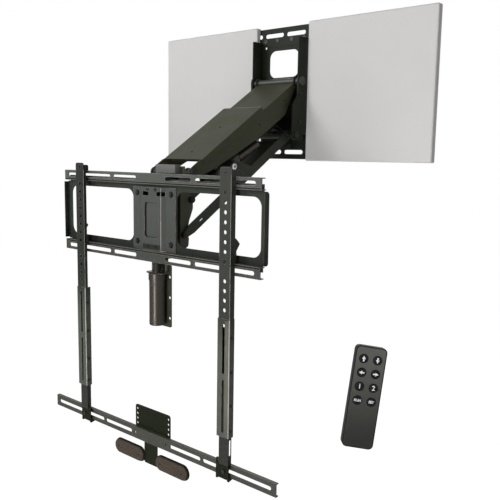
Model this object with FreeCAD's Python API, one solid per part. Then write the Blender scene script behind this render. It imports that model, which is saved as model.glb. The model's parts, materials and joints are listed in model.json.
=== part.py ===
import FreeCAD, Part
import math
import os

from FreeCAD import Placement, Rotation, Vector

# Millimetres. X runs to the right seen from the room, Y into the wall, Z up.
# The origin is the middle of the four wall-bolt slots, on the wall's face.

fit = 0.05            # play all round a pin in its hole
running_gap = 0.4     # play between pieces that slide or turn past each other
sheet = 3.0           # thickness of the wall bracket and arm steel
thin_sheet = 2.5      # thickness of the screen frame's steel

# Wall side
rail_spacing = 394.0
rail_length = 1060.0
rail_height = 48.0
bolt_slot_height = 14.0
stud_spacing = 406.4
long_slot = 78.0
short_slot = 23.0
slot_gap = 13.0
bracket_half_width = 97.0
bracket_height = 370.0
bracket_depth = 57.0
bracket_wall_top = 175.0
bracket_wall_bottom = -140.0
window_half_width = 62.0
window_bottom = 55.0
window_top = 145.0
window_radius = 25.0
cable_hole_radius = 4.5
cheek_thickness = 4.0
cheek_front = -87.0
cheek_back = -30.0
cover_width = 450.0
cover_beyond_rail = 29.0   # from the middle of each wall rail
cover_depth = 22.0
cover_inner_edge = 108.0
cover_wall = 2.0
cover_corner = 5.0
clip_width = 30.0
clip_height = 20.0
control_box_width = 120.0
control_box_height = 110.0
control_box_depth = 14.0

# Pivots of the parallel arms
arm_length = 564.0
arm_drop = 32.0       # degrees below level in the lowered place
upper_pivot_y = -41.0
upper_pivot_z = 34.0
lower_pivot_ahead = 24.0
lower_pivot_below = 175.4
pivot_tube_radius = 12.0
lower_pin_radius = 8.0
front_shaft_radius = 10.0
front_stub_radius = 5.0

# Upper arm, measured along it from its wall pivot
arm_half_width = 78.0
arm_web_top = 1.0
arm_web_start = 14.0
arm_web_end = arm_length - 64.0
arm_ear_start = arm_length - 108.0
arm_ear_top = 17.0
arm_deepest_along = 107.0
arm_deepest = -66.0
arm_belly_along = 250.0
arm_belly = -63.0
arm_front_along = arm_length - 84.0
arm_front_depth = -36.0
arm_cover_start = 204.0
arm_cover_end = arm_length - 50.0
arm_cover_top = 15.0
arm_cover_sheet = 1.5

# Lower arm, measured along it from its wall pivot
lower_bar_inner = 66.0
lower_bar_outer = 71.0
lower_bar_depth = 30.0
lower_hub_radius = 12.5
lower_tube_along = 100.0
lower_tube_above = -4.0
lower_tube_radius = 8.0
lower_slot_along = arm_length - 78.0
lower_nose_radius = 7.4
lower_nose_length = 34.0
lower_web_start = 62.0
lower_web_end = 330.0
lower_web_top = 12.0
ear_along = 286.5
ear_above = 55.8
ear_radius = 12.5
ear_cap_radius = 9.5
ear_cap_thickness = 3.2

# Lift actuator, hung between the ears and a forked anchor on the wall bracket
anchor_above = 40.0   # its anchor's height over the lower wall pivot
anchor_y = -41.0
actuator_pin_radius = 7.0
eye_radius = 12.0
eye_width = 22.0
rod_eye_radius = 12.0
fork_plate = 4.0
fork_pin_gap = 0.5
gear_case_start = 20.0
gear_case_length = 34.0
gear_case_half = 14.5
actuator_tube_radius = 13.0
actuator_tube_length = 138.0
actuator_rod_radius = 8.0
actuator_rod_inside = 26.0
lift_motor_x = 40.0
lift_motor_radius = 14.5
lift_motor_length = 104.0

# Height of the screen frame, which the head and the bars follow
frame_height = 250.0

# Head, which the arms keep upright
frame_ahead = 92.7    # screen frame's front, ahead of the arm's front pivot
frame_drop = 1.1      # screen frame's top, below that pivot
head_half_width = 62.0
head_sheet = 4.0
head_front = 58.0     # the rest of the head is measured from the screen frame's front and top
head_web_front = 77.0
head_top = 20.0
head_bottom = 42.0 - frame_height
head_cap_half_width = 40.0
head_cap_top = 24.0
swivel_behind = 26.0
swivel_shaft_radius = 6.0
swivel_bush_wall = 3.0
lug_round = 16.0
lug_foot_half_width = 34.0
lug_thickness = 6.0
top_lug_z = -11.0
bottom_lug_z = 11.0 - frame_height
bumper_y = 99.0
bumper_z = -74.0
bumper_radius = 9.5
bumper_half_length = 73.0
bumper_pin_radius = 5.0

# Swivel motor, hung under the head on the swivel axis
gearbox_top = bottom_lug_z - 43.0
gearbox_radius = 24.5
gearbox_length = 22.0
motor_radius = 22.5
motor_length = 133.0
motor_bottom = gearbox_top - gearbox_length - motor_length
motor_plate_half_width = 35.0
motor_plate_thickness = 3.0
motor_plate_top = bottom_lug_z - 23.0
motor_plate_hole_x = 28.0
motor_plate_hole_drops = [35.0, 95.5, 156.0]
motor_plate_hole_radius = 4.4
leg_radius = 3.0
leg_x = 28.0
leg_behind = 9.0
coupling_radius = 11.0

# Screen frame
rail_half_length = 401.0
tv_rail_height = 31.0
tv_rail_depth = 14.0
tv_rail_slots = [(60.0, 161.0), (175.0, 382.0)]
rail_bolt_x = [-340.0, -145.0, 145.0, 340.0]
rail_bolt_inset = 9.0
frame_plate_y = 17.0
frame_plate_half_width = 410.0
frame_plate_top = -34.0
frame_plate_bottom = 32.0 - frame_height
frame_lip = 14.0
side_window_inner = 90.0
side_window_outer = 388.0
side_window_top = -48.0
side_window_bottom = 50.0 - frame_height
side_window_radius = 26.0
hat_half_width = 88.0
hat_rise = 12.0
hat_face_half_width = 39.0
hat_foot_half_width = 51.0
hat_bolt_x = 70.0
hat_bolt_z = [-57.0, 53.0 - frame_height]
hat_panel_half_width = 29.0
hat_panel_z = [-81.0, 69.0 - frame_height]
hat_panel_depth = 2.0
hinge_block_half_width = 26.0
hinge_block_height = 14.0
hinge_block_z = [-46.0, 44.0 - frame_height]
hinge_screw_x = 16.0

# Upright bars that carry the television
bar_spacing = 600.0
bar_width = 38.0
bar_front = -18.0
bar_top = 23.5
bar_bottom = -428.0 - frame_height
bar_sleeve_top = -111.0 - frame_height
bar_left_flange = 10.0
bar_sleeve_sheet = 1.5
tv_hole_pitch = 25.0
tv_hole_first = -39.0
tv_hole_steps = [0, 1, 2, 3, 4, 5, 6, 7, 9, 10, 11, 12]
tv_hole_radius = 5.2
bar_slots = [(304.0, 171.0), (156.0, 12.0)]      # top and foot, above the bar's foot
bar_slot_width = 8.5
bar_rivet_y = -12.0
hook_back = 27.0
hook_top = 19.0
hook_tip = -7.0
latch_pivot_y = -9.0
latch_pivot_z = tv_rail_height + 23.0 - frame_height
latch_sheet = 3.0
latch_pin_radius = 3.0

# Sound bar carriage
extension_top = bar_bottom + 158.0
soundbar_top = bar_bottom - 79.0
extension_bottom = soundbar_top + running_gap
extension_window = [bar_bottom - 52.0, bar_bottom - 8.0]
clamp_ear_top = soundbar_top + 16.0
clamp_ear_radius = 5.5
soundbar_height = 36.0
soundbar_half_length = 468.0
soundbar_depth = 10.0
soundbar_front = -3.5
back_plate_half_width = 75.0
back_plate_top = soundbar_top + 67.0
back_plate_hole_x = 67.0
back_plate_hole_pitch = 15.0
back_plate_hole_count = 4
back_plate_hole_radius = 3.5
pad_centre_x = 92.0
pad_z = soundbar_top - 81.0
pad_radius = 21.0
pad_half_run = 44.0
pad_rim = 2.5
pad_thickness = 9.0
stem_half_width = 28.0
stem_bottom = pad_z - 20.0
clamp_reach = 14.0        # how far each clamp stands out past its bar, to the outer side
clamp_sheet = 2.5
clamp_lip = 3.0
clamp_tongue = 36.0
clamp_shelf_drop = 3.5
clamp_hook_width = 4.0
clamp_hook_reach = 9.0
clamp_eye_radius = 2.6
clamp_bolt_radius = 3.0

# Hand control, which stands apart beside the mount
remote_x = 871.0
remote_y = -916.0
remote_z = -608.0
remote_width = 52.0
remote_height = 168.0
remote_depth = 18.0
remote_turn = 40.0    # about the upright, so that its face looks past the screen's right side
remote_lean = 8.0     # back from the upright
remote_tilt = 8.0     # its top to the right
remote_split = 8.0
remote_corner = 8.0
button_radius = 6.2
button_rise = 1.6
button_travel = 1.0
button_x = 11.5
button_rows = [63.0, 40.0, 17.0, -6.0]
button_well = 5.0

# Places that follow from the sizes above
rail_z = rail_spacing / 2
upper_pivot = Vector(0, upper_pivot_y, upper_pivot_z)
lower_pivot = upper_pivot + Vector(0, -lower_pivot_ahead, -lower_pivot_below)
drop = math.radians(arm_drop)
ahead = Vector(0, -math.cos(drop), -math.sin(drop))
above = Vector(0, -math.sin(drop), math.cos(drop))
front_pivot = upper_pivot + ahead * arm_length
lower_front_pivot = front_pivot + lower_pivot - upper_pivot
frame_y = front_pivot.y - frame_ahead
frame_z = front_pivot.z - frame_drop
ear_pivot = lower_pivot + ahead * ear_along + above * ear_above
anchor_pivot = Vector(0, anchor_y, lower_pivot.z + anchor_above)
bar_x = bar_spacing / 2


def outline(corners, place):
    """Closed face through corners (u, v, radius); place turns (u, v) into a point."""
    edges = []
    points = []
    count = len(corners)
    for i in range(count):
        u, v, radius = corners[i]
        before = corners[i - 1]
        after = corners[(i + 1) % count]
        back = Vector(before[0] - u, before[1] - v, 0).normalize()
        ahead = Vector(after[0] - u, after[1] - v, 0).normalize()
        corner = Vector(u, v, 0)
        if radius <= 0:
            points.append((corner, corner, corner))
            continue
        half = back.getAngle(ahead) / 2
        reach = radius / math.tan(half)
        bisector = (back + ahead).normalize()
        middle = corner + bisector * (radius / math.sin(half) - radius)
        points.append((corner + back * reach, middle, corner + ahead * reach))
    for i in range(count):
        start, middle, end = points[i]
        following = points[(i + 1) % count][0]
        if (end - start).Length > 1e-6:
            edges.append(Part.Arc(place(start), place(middle), place(end)).toShape())
        if (following - end).Length > 1e-6:
            edges.append(Part.LineSegment(place(end), place(following)).toShape())
    return Part.Face(Part.Wire(edges))


def plate_across(corners, x_from, x_to):
    """Plate with its outline in Y and Z, from one X to another."""
    face = outline(corners, lambda p: Vector(x_from, p.x, p.y))
    return face.extrude(Vector(x_to - x_from, 0, 0))


def plate_facing(corners, y_from, y_to):
    """Plate with its outline in X and Z, from one Y to another."""
    face = outline(corners, lambda p: Vector(p.x, y_from, p.y))
    return face.extrude(Vector(0, y_to - y_from, 0))


def plate_flat(corners, z_from, z_to):
    """Plate with its outline in X and Y, from one Z to another."""
    face = outline(corners, lambda p: Vector(p.x, p.y, z_from))
    return face.extrude(Vector(0, 0, z_to - z_from))


def block(x_from, x_to, y_from, y_to, z_from, z_to):
    return Part.makeBox(x_to - x_from, y_to - y_from, z_to - z_from, Vector(x_from, y_from, z_from))


def rod_x(x_from, x_to, y, z, radius):
    return Part.makeCylinder(radius, x_to - x_from, Vector(x_from, y, z), Vector(1, 0, 0))


def rod_y(x, z, y_from, y_to, radius):
    return Part.makeCylinder(radius, y_to - y_from, Vector(x, y_from, z), Vector(0, 1, 0))


def rod_z(x, y, z_from, z_to, radius):
    return Part.makeCylinder(radius, z_to - z_from, Vector(x, y, z_from), Vector(0, 0, 1))


def rectangle(u_from, u_to, v_from, v_to, radius=0.0):
    return [(u_from, v_from, radius), (u_to, v_from, radius), (u_to, v_to, radius), (u_from, v_to, radius)]


def slot_facing(x, z, length, width, y_from, y_to, upright=False):
    """Cutter for a round-ended slot through a plate that faces the room."""
    half_u, half_v = (width / 2, length / 2) if upright else (length / 2, width / 2)
    radius = width / 2 - 0.01
    return plate_facing(rectangle(x - half_u, x + half_u, z - half_v, z + half_v, radius), y_from, y_to)


def hexagon_y(x, z, y_from, y_to, across):
    """Six-sided head with its axis along Y."""
    reach = across / math.sqrt(3)
    corners = [(x + reach * math.cos(math.radians(60 * i)), z + reach * math.sin(math.radians(60 * i)), 0)
               for i in range(6)]
    return plate_facing(corners, y_from, y_to)


def bolt_y(x, z, y_head, grip, radius):
    """Bolt whose head's underside is at y_head and whose shank runs towards the wall."""
    shank = rod_y(x, z, y_head, y_head + grip, radius)
    return hexagon_y(x, z, y_head - 1.1 * radius, y_head, 3.2 * radius).fuse(shank)


def mirror_x(shape):
    return shape.mirror(Vector(0, 0, 0), Vector(1, 0, 0))


def both_sides(shape):
    return [shape, mirror_x(shape)]


def ring_x(x_from, x_to, y, z, outer, inner):
    return rod_x(x_from, x_to, y, z, outer).cut(rod_x(x_from, x_to, y, z, inner))


def on_arm(shape, pivot=upper_pivot):
    """Place what was drawn level, pointing to the room from a pivot at the origin."""
    turned = shape.copy()
    turned.Placement = Placement(pivot, Rotation(Vector(1, 0, 0), arm_drop)).multiply(turned.Placement)
    return turned


def on_frame(shape):
    """Place what was drawn from the screen frame's front plane and top edge."""
    moved = shape.copy()
    moved.translate(Vector(0, frame_y, frame_z))
    return moved


def forward(corners):
    """Arm outlines are drawn as (along, above); along runs towards the room."""
    return [(-along, above, radius) for along, above, radius in corners]


def save(name, shapes):
    solids = []
    for shape in shapes if isinstance(shapes, list) else [shapes]:
        solids += shape.removeSplitter().Solids
    result = solids[0] if len(solids) == 1 else Part.makeCompound(solids)
    for solid in solids:
        if not solid.isValid() or solid.Volume <= 0:
            print("not valid:", name)
    result.exportStep(os.path.join("parts", name + ".step"))


def wall_rail(z):
    """Slotted strip that is bolted to the studs."""
    half = rail_length / 2
    rail = plate_facing(rectangle(-half, half, z - rail_height / 2, z + rail_height / 2, 4), -sheet, 0)
    long_centre = slot_gap / 2 + long_slot / 2
    short_centre = slot_gap * 1.5 + long_slot + short_slot / 2
    outer_first = stud_spacing / 2
    outer_centres = [outer_first + stud_spacing / 4 * i for i in range(3)]
    slots = [(long_centre, long_slot), (short_centre, short_slot)]
    slots += [(centre, long_slot) for centre in outer_centres]
    for centre, length in slots:
        for side in (-1, 1):
            rail = rail.cut(slot_facing(side * centre, z, length, bolt_slot_height, -sheet - 1, 1))
    for x, hole_z in bracket_bolt_places(z):
        rail = rail.cut(rod_y(x, hole_z, -sheet - 1, 1, 4 + fit))
    return rail


def bracket_bolt_places(z):
    """Bolts that join the bracket's ends to one rail."""
    edge = z - math.copysign(rail_height / 2 - 6, z)
    return [(x, edge) for x in (-80, -30, 30, 80)]


def wall_bracket():
    half = bracket_height / 2
    back = plate_facing(rectangle(-bracket_half_width, bracket_half_width, -half, half, 6),
                        -2 * sheet, -sheet)
    window = rectangle(-window_half_width, window_half_width, window_bottom, window_top, window_radius)
    back = back.cut(plate_facing(window, -2 * sheet - 1, 0))
    side = plate_across(rectangle(-bracket_depth, -2 * sheet, bracket_wall_bottom, bracket_wall_top, 5),
                        bracket_half_width - sheet, bracket_half_width)
    side = side.fuse(block(bracket_half_width - sheet, bracket_half_width,
                           -2 * sheet - 6, -2 * sheet, bracket_wall_bottom, bracket_wall_top))
    side = side.cut(rod_x(bracket_half_width - sheet - 1, bracket_half_width + 1,
                          upper_pivot.y, upper_pivot.z, pivot_tube_radius + fit))
    for y, z in cheek_bolt_places():
        side = side.cut(rod_x(bracket_half_width - sheet - 1, bracket_half_width + 1, y, z, 3 + fit))
    bracket = back.fuse(both_sides(side))
    for z in (-rail_z, rail_z):
        for x, hole_z in bracket_bolt_places(z):
            bracket = bracket.cut(rod_y(x, hole_z, -2 * sheet - 1, 0, 4 + fit))
    step = plate_facing(rectangle(-window_half_width, window_half_width, window_top + 12, window_top + 18, 2),
                        -2 * sheet - 1.5, -2 * sheet)
    bracket = bracket.fuse(step)
    for x in (-bracket_half_width + 18, bracket_half_width - 18):
        bracket = bracket.cut(rod_y(x, window_top + 12, -2 * sheet - 3, 0, 4))
        bracket = bracket.cut(rod_y(x, bracket_wall_bottom + 35, -2 * sheet - 3, 0, cable_hole_radius))
    return bracket


def cheek_bolt_places():
    return [(-46, -8), (-46, -100)]


def pivot_cheeks():
    """Heavy side plates that carry both wall pivots."""
    top = upper_pivot.z + 18
    bottom = lower_pivot.z - 18
    shoulder = upper_pivot.z - 46
    corners = [(cheek_back, top, 6), (upper_pivot.y - 18, top, 12), (upper_pivot.y - 18, shoulder, 10),
               (cheek_front, shoulder - 34, 14), (cheek_front, bottom, 14), (cheek_back, bottom, 6)]
    inner = bracket_half_width
    plate = plate_across(corners, inner, inner + cheek_thickness)
    plate = plate.cut(rod_x(inner - 1, inner + 9, upper_pivot.y, upper_pivot.z, pivot_tube_radius + fit))
    plate = plate.cut(rod_x(inner - 1, inner + 9, lower_pivot.y, lower_pivot.z, lower_pin_radius + fit))
    for y, z in cheek_bolt_places():
        plate = plate.cut(rod_x(inner - 1, inner + 9, y, z, 3 + fit))
    return both_sides(plate)


def wall_bolts():
    bolts = []
    for z in (-rail_z, rail_z):
        for x, hole_z in bracket_bolt_places(z):
            shank = rod_y(x, hole_z, -2 * sheet, 0, 4)
            bolts.append(rod_y(x, hole_z, -2 * sheet - 1.5, -2 * sheet, 7).fuse(shank))
    outer = bracket_half_width + cheek_thickness
    for y, z in cheek_bolt_places():
        head = rod_x(outer, outer + 3, y, z, 5.5)
        shank = rod_x(bracket_half_width - sheet, outer, y, z, 3)
        bolts += both_sides(head.fuse(shank))
    return bolts


def upper_pivot_shaft():
    end = bracket_half_width + cheek_thickness
    tube = rod_x(-end, end, upper_pivot.y, upper_pivot.z, pivot_tube_radius)
    bore = rod_x(-end - 1, end + 1, upper_pivot.y, upper_pivot.z, pivot_tube_radius - 4)
    plug = rod_x(end - 8, end + 3, upper_pivot.y, upper_pivot.z, pivot_tube_radius - 4)
    flange = rod_x(end, end + 3, upper_pivot.y, upper_pivot.z, pivot_tube_radius + 3)
    return tube.cut(bore).fuse(both_sides(plug.fuse(flange)))


def lower_pivot_pin():
    """Pin of the lower arm, with collars that keep the arm in line."""
    end = bracket_half_width + cheek_thickness
    pin = rod_x(-end, end, lower_pivot.y, lower_pivot.z, lower_pin_radius)
    head = rod_x(end, end + 4, lower_pivot.y, lower_pivot.z, lower_pin_radius + 3)
    collar = rod_x(lower_bar_outer + running_gap, lower_bar_outer + 8, lower_pivot.y, lower_pivot.z,
                   lower_pin_radius + 4)
    return pin.fuse(both_sides(head.fuse(collar)))


def actuator_anchor():
    """Forked anchor on the wall bracket; its bolt heads stand outside the two plates."""
    y, z = anchor_pivot.y, anchor_pivot.z
    inner = eye_width / 2 + running_gap
    outer = inner + fork_plate
    profile = [(-2 * sheet, z - 26, 0), (y - 13, z - 13, 12), (y - 13, z + 13, 12), (-2 * sheet, z + 26, 0)]
    plate = plate_across(profile, inner, outer)
    head = rod_x(outer, outer + 4, y, z, actuator_pin_radius + 1)
    foot = block(outer, outer + 12, -2 * sheet - 3, -2 * sheet, z - 26, z + 26)
    foot = foot.cut(rod_y(outer + 7, z - 16, -2 * sheet - 9, 0, 2.6))
    foot = foot.cut(rod_y(outer + 7, z + 16, -2 * sheet - 9, 0, 2.6))
    bridge = block(-inner, inner, -2 * sheet - 3, -2 * sheet, z - 26, z + 26)
    side = plate.fuse([head, foot])
    return bridge.fuse(both_sides(side))


def wall_cover():
    """Right-hand paintable cover: an open-backed tray that stands on the wall."""
    left = cover_inner_edge
    right = left + cover_width
    half = rail_z + cover_beyond_rail
    tray = block(left, right, -cover_depth, 0, -half, half)
    soft = [edge for edge in tray.Edges if edge.BoundBox.YMax < -cover_depth + 0.1
            or edge.BoundBox.YLength > cover_depth - 0.1]
    tray = tray.makeFillet(cover_corner, soft)
    hollow = block(left + cover_wall, right - cover_wall, -cover_depth + cover_wall, 1,
                   -half + cover_wall, half - cover_wall)
    tray = tray.cut(hollow)
    for z in (-rail_z, rail_z):
        tray = tray.cut(block(left - 1, left + cover_wall + 1, -sheet - 1, 1,
                              z - rail_height / 2 - 1, z + rail_height / 2 + 1))
    return tray


def cover_clips():
    """Spring clips that hold each cover off the rails."""
    clips = []
    inside = -cover_depth + cover_wall
    clip_centres = (cover_inner_edge + 32, rail_length / 2 - 22)
    for z in (-rail_z, rail_z):
        for x in clip_centres:
            clip = block(x - clip_width / 2, x + clip_width / 2, inside, -sheet,
                         z - clip_height / 2, z + clip_height / 2)
            hollow = block(x - clip_width / 2 + 2, x + clip_width / 2 - 2, inside + 2, -sheet - 2,
                           z - clip_height, z + clip_height)
            clips += both_sides(clip.cut(hollow))
    return clips


def control_box():
    """Control electronics in their housing, clipped to the top rail behind the right cover."""
    left = stud_spacing / 2 + long_slot / 2 + 12
    top = rail_z - 4
    box = plate_facing(rectangle(left, left + control_box_width, top - control_box_height, top, 6),
                       -sheet - control_box_depth, -sheet)
    socket = block(left + 20, left + 50, -sheet - control_box_depth + 4, -sheet - 3,
                   top - control_box_height - 1, top - control_box_height + 9)
    return box.cut(socket)


def arm_side_corners():
    """One side of the upper arm: raked rear end, tapering depth and front ear."""
    return [(-18, arm_web_top, 6), (-18, -18, 12), (24, -20, 20), (arm_deepest_along, arm_deepest, 14),
            (arm_belly_along, arm_belly, 60), (arm_front_along, arm_front_depth, 30),
            (arm_length + 4, -18, 17),
            (arm_length + 18, arm_ear_top, 17), (arm_cover_end + 4, arm_ear_top, 4),
            (arm_cover_end + 1.5, arm_cover_top - 2.1, 0), (arm_ear_start, arm_cover_top - 2.1, 4),
            (arm_ear_start - 14, arm_web_top, 4)]


def upper_arm():
    inner = arm_half_width - sheet
    side = plate_across(forward(arm_side_corners()), inner, arm_half_width)
    side = side.cut(rod_x(inner - 1, arm_half_width + 1, 0, 0, pivot_tube_radius + 3 + fit))
    side = side.cut(rod_x(inner - 1, arm_half_width + 1, -arm_length, 0, front_shaft_radius + 3 + fit))
    for along, height in ((90, -23), (239, -28)):
        side = side.cut(rod_x(inner - 1, arm_half_width + 1, -along, height, 3.2))
    web = block(-inner, inner, -arm_web_end, -arm_web_start, arm_web_top - sheet, arm_web_top)
    arm = web.fuse(both_sides(side))
    for x, along in cover_screw_places():
        arm = arm.cut(rod_z(x, -along, arm_web_top - sheet - 1, arm_web_top + 1, 2 + fit))
    return on_arm(arm)


def cover_screw_places():
    return [(0, arm_cover_start + 123), (0, arm_cover_end - 43)]


def arm_cover():
    """Folded lid over the drive, screwed down on the arm's web."""
    outer = arm_half_width + arm_cover_sheet
    start, end = -arm_cover_end, -arm_cover_start
    lid = block(-outer, outer, start, end, arm_cover_top - 2, arm_cover_top)
    rear = block(-arm_half_width, arm_half_width, end - 2, end, arm_web_top, arm_cover_top)
    skirt = block(arm_half_width, outer, start, end, -7, arm_cover_top)
    lid = lid.fuse([rear] + both_sides(skirt))
    long_edges = [edge for edge in lid.Edges if edge.BoundBox.YLength > (end - start) - 1
                  and edge.BoundBox.ZMin > arm_cover_top - 0.5 and abs(edge.BoundBox.XMin) > outer - 0.5]
    lid = lid.makeFillet(1.2, long_edges)
    for x, along in cover_screw_places():
        post = rod_z(x, -along, arm_web_top, arm_cover_top - 1, 5)
        hole = rod_z(x, -along, arm_web_top - 1, arm_cover_top + 1, 2 + fit)
        lid = lid.fuse(post).cut(hole)
    return on_arm(lid)


def arm_cover_screws():
    screws = []
    for x, along in cover_screw_places():
        head = rod_z(x, -along, arm_cover_top, arm_cover_top + 1.6, 4)
        shank = rod_z(x, -along, arm_web_top - sheet, arm_cover_top, 2)
        screws.append(on_arm(head.fuse(shank)))
    return screws


def arm_bushes():
    """Flanged plastic bushes in the arm's four pivot holes."""
    inner = arm_half_width - sheet
    bushes = []
    for along, pin in ((0, pivot_tube_radius), (arm_length, front_shaft_radius)):
        sleeve = ring_x(inner, arm_half_width + 3, -along, 0, pin + 3, pin + fit)
        flange = ring_x(arm_half_width, arm_half_width + 3, -along, 0, pin + 6, pin + fit)
        bushes += both_sides(on_arm(sleeve.fuse(flange)))
    return bushes


def on_lower_arm(shape):
    return on_arm(shape, lower_pivot)


def lower_arm():
    """Two side bars on a hub, tied by a tube and a web, with an ear on each for the actuator."""
    half = lower_bar_depth / 2
    x_from, x_to = lower_bar_inner, lower_bar_outer
    nose = arm_length - lower_nose_length
    tip = arm_length + lower_nose_radius
    round_off = lower_nose_radius - 0.1
    bar = plate_across(forward([(0, -half, 0), (nose, -half, 20), (tip, -lower_nose_radius, round_off),
                                (tip, lower_nose_radius, round_off), (nose, half, 20), (0, half, 0)]),
                       x_from, x_to)
    bar = bar.fuse(rod_x(x_from, x_to, 0, 0, half))
    ear = plate_across(forward([(ear_along - 74, half - 4, 0), (ear_along + 30, half - 4, 0),
                                (ear_along + ear_radius, ear_above + ear_radius, ear_radius),
                                (ear_along - ear_radius, ear_above + ear_radius, ear_radius)]), x_from, x_to)
    bar = bar.fuse([ear, rod_x(x_from, x_to, -ear_along, ear_above, ear_radius)])
    slot = plate_across(forward(rectangle(lower_slot_along - 9, lower_slot_along + 9, -2.5, 2.5, 2.4)),
                        x_from - 1, x_to + 1)
    bar = bar.cut([slot, rod_x(x_from - 1, x_to + 1, -ear_along, ear_above, actuator_pin_radius)])
    bar = bar.cut(rod_x(x_from - 1, x_to + 1, -arm_length, 0, front_stub_radius + fit))
    hub = rod_x(-x_from, x_from, 0, 0, lower_hub_radius)
    tube = rod_x(-x_from, x_from, -lower_tube_along, lower_tube_above, lower_tube_radius)
    web = block(-x_from, x_from, -lower_web_end, -lower_web_start, lower_web_top - thin_sheet, lower_web_top)
    arm = hub.fuse([tube, web] + both_sides(bar))
    return on_lower_arm(arm.cut(rod_x(-x_to - 1, x_to + 1, 0, 0, lower_pin_radius + fit)))


def actuator_cross_pin():
    """Pin through both ears, with collars beside the actuator's eye."""
    pin = rod_x(-lower_bar_outer, lower_bar_outer, -ear_along, ear_above, actuator_pin_radius)
    start = eye_width / 2 + running_gap
    collar = rod_x(start, start + 8, -ear_along, ear_above, actuator_pin_radius + 3)
    return on_lower_arm(pin.fuse(both_sides(collar)))


def ear_caps():
    """Pale caps over the ends of the cross pin."""
    outer = lower_bar_outer
    cap = rod_x(outer, outer + ear_cap_thickness, -ear_along, ear_above, ear_cap_radius)
    rim = [edge for edge in cap.Edges if edge.BoundBox.XMin > outer + ear_cap_thickness - 0.1]
    return both_sides(on_lower_arm(cap.makeFillet(1.5, rim)))


def along_actuator(shape):
    """Place what was drawn with the ears' pin at the origin and the rod along +X, towards the wall."""
    line = anchor_pivot - ear_pivot
    angle = math.degrees(math.atan2(line.z, line.y))
    turned = shape.copy()
    turn = Rotation(Vector(1, 0, 0), angle).multiply(Rotation(Vector(0, 0, 1), 90))
    turned.Placement = Placement(ear_pivot, turn).multiply(turned.Placement)
    return turned


def rod_out(start, end, side, radius):
    return Part.makeCylinder(radius, end - start, Vector(start, side, 0), Vector(1, 0, 0))


def cross_rod(along, half, radius):
    return Part.makeCylinder(radius, 2 * half, Vector(along, -half, 0), Vector(0, 1, 0))


def actuator_housing():
    """Gear case with its eye on the cross pin; the tube and the motor stand on its rear face."""
    start, end = gear_case_start, gear_case_start + gear_case_length
    side = -lift_motor_x - lift_motor_radius
    wide = actuator_tube_radius + 1
    case = plate_flat(rectangle(start, end, side, wide, 6), -gear_case_half, gear_case_half)
    neck = block(0, start + 2, -eye_width / 2, eye_width / 2, -eye_radius + 1, eye_radius - 1)
    eye = cross_rod(0, eye_width / 2, eye_radius)
    return along_actuator(case.fuse([neck, eye]).cut(cross_rod(0, eye_width, actuator_pin_radius + fit)))


def actuator_tube():
    start = gear_case_start + gear_case_length
    end = start + actuator_tube_length
    tube = rod_out(start, end, 0, actuator_tube_radius)
    bore = rod_out(start + 4, end - 12, 0, actuator_tube_radius - 3)
    mouth = rod_out(start + 4, end + 1, 0, actuator_rod_radius + fit)
    return along_actuator(tube.cut(bore).cut(mouth))


def lift_motor():
    start = gear_case_start + gear_case_length
    end = start + lift_motor_length
    can = rod_out(start, end, -lift_motor_x, lift_motor_radius)
    rim = [edge for edge in can.Edges if edge.BoundBox.XMin > end - 0.1]
    return along_actuator(can.makeFillet(3, rim))


def actuator_rod():
    """Push rod with its end eye and the pin that turns between the anchor's plates."""
    length = (anchor_pivot - ear_pivot).Length
    tube_end = gear_case_start + gear_case_length + actuator_tube_length
    rod = rod_out(tube_end - actuator_rod_inside, length - 4, 0, actuator_rod_radius)
    eye = cross_rod(length, eye_width / 2 + running_gap - fork_pin_gap, rod_eye_radius)
    return along_actuator(rod.fuse(eye))


def head_side_corners():
    """One side of the head, from the screen frame's front plane and top edge."""
    pivot_y = front_pivot.y - frame_y
    back = pivot_y + 12
    shoulder = pivot_y - 15
    lower_y = lower_front_pivot.y - frame_y
    return [(head_front, -4, 2), (shoulder, -4, 3), (shoulder, head_top - 4, 10), (back, head_top - 4, 11),
            (back, -22, 10), (pivot_y + 2, -42, 8), (bumper_y - 3, bumper_z + 14, 5),
            (bumper_y + 9, bumper_z + 10, 7), (bumper_y + 9, bumper_z - 26, 12),
            (lower_y + 24, bumper_z - 62, 20),
            (lower_y + 17, head_bottom + 40, 14), (lower_y + 24, head_bottom + 22, 10),
            (lower_y + 22, head_bottom, 9), (head_front + 8, head_bottom - 10, 6),
            (head_front, head_bottom - 10, 3)]


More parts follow.
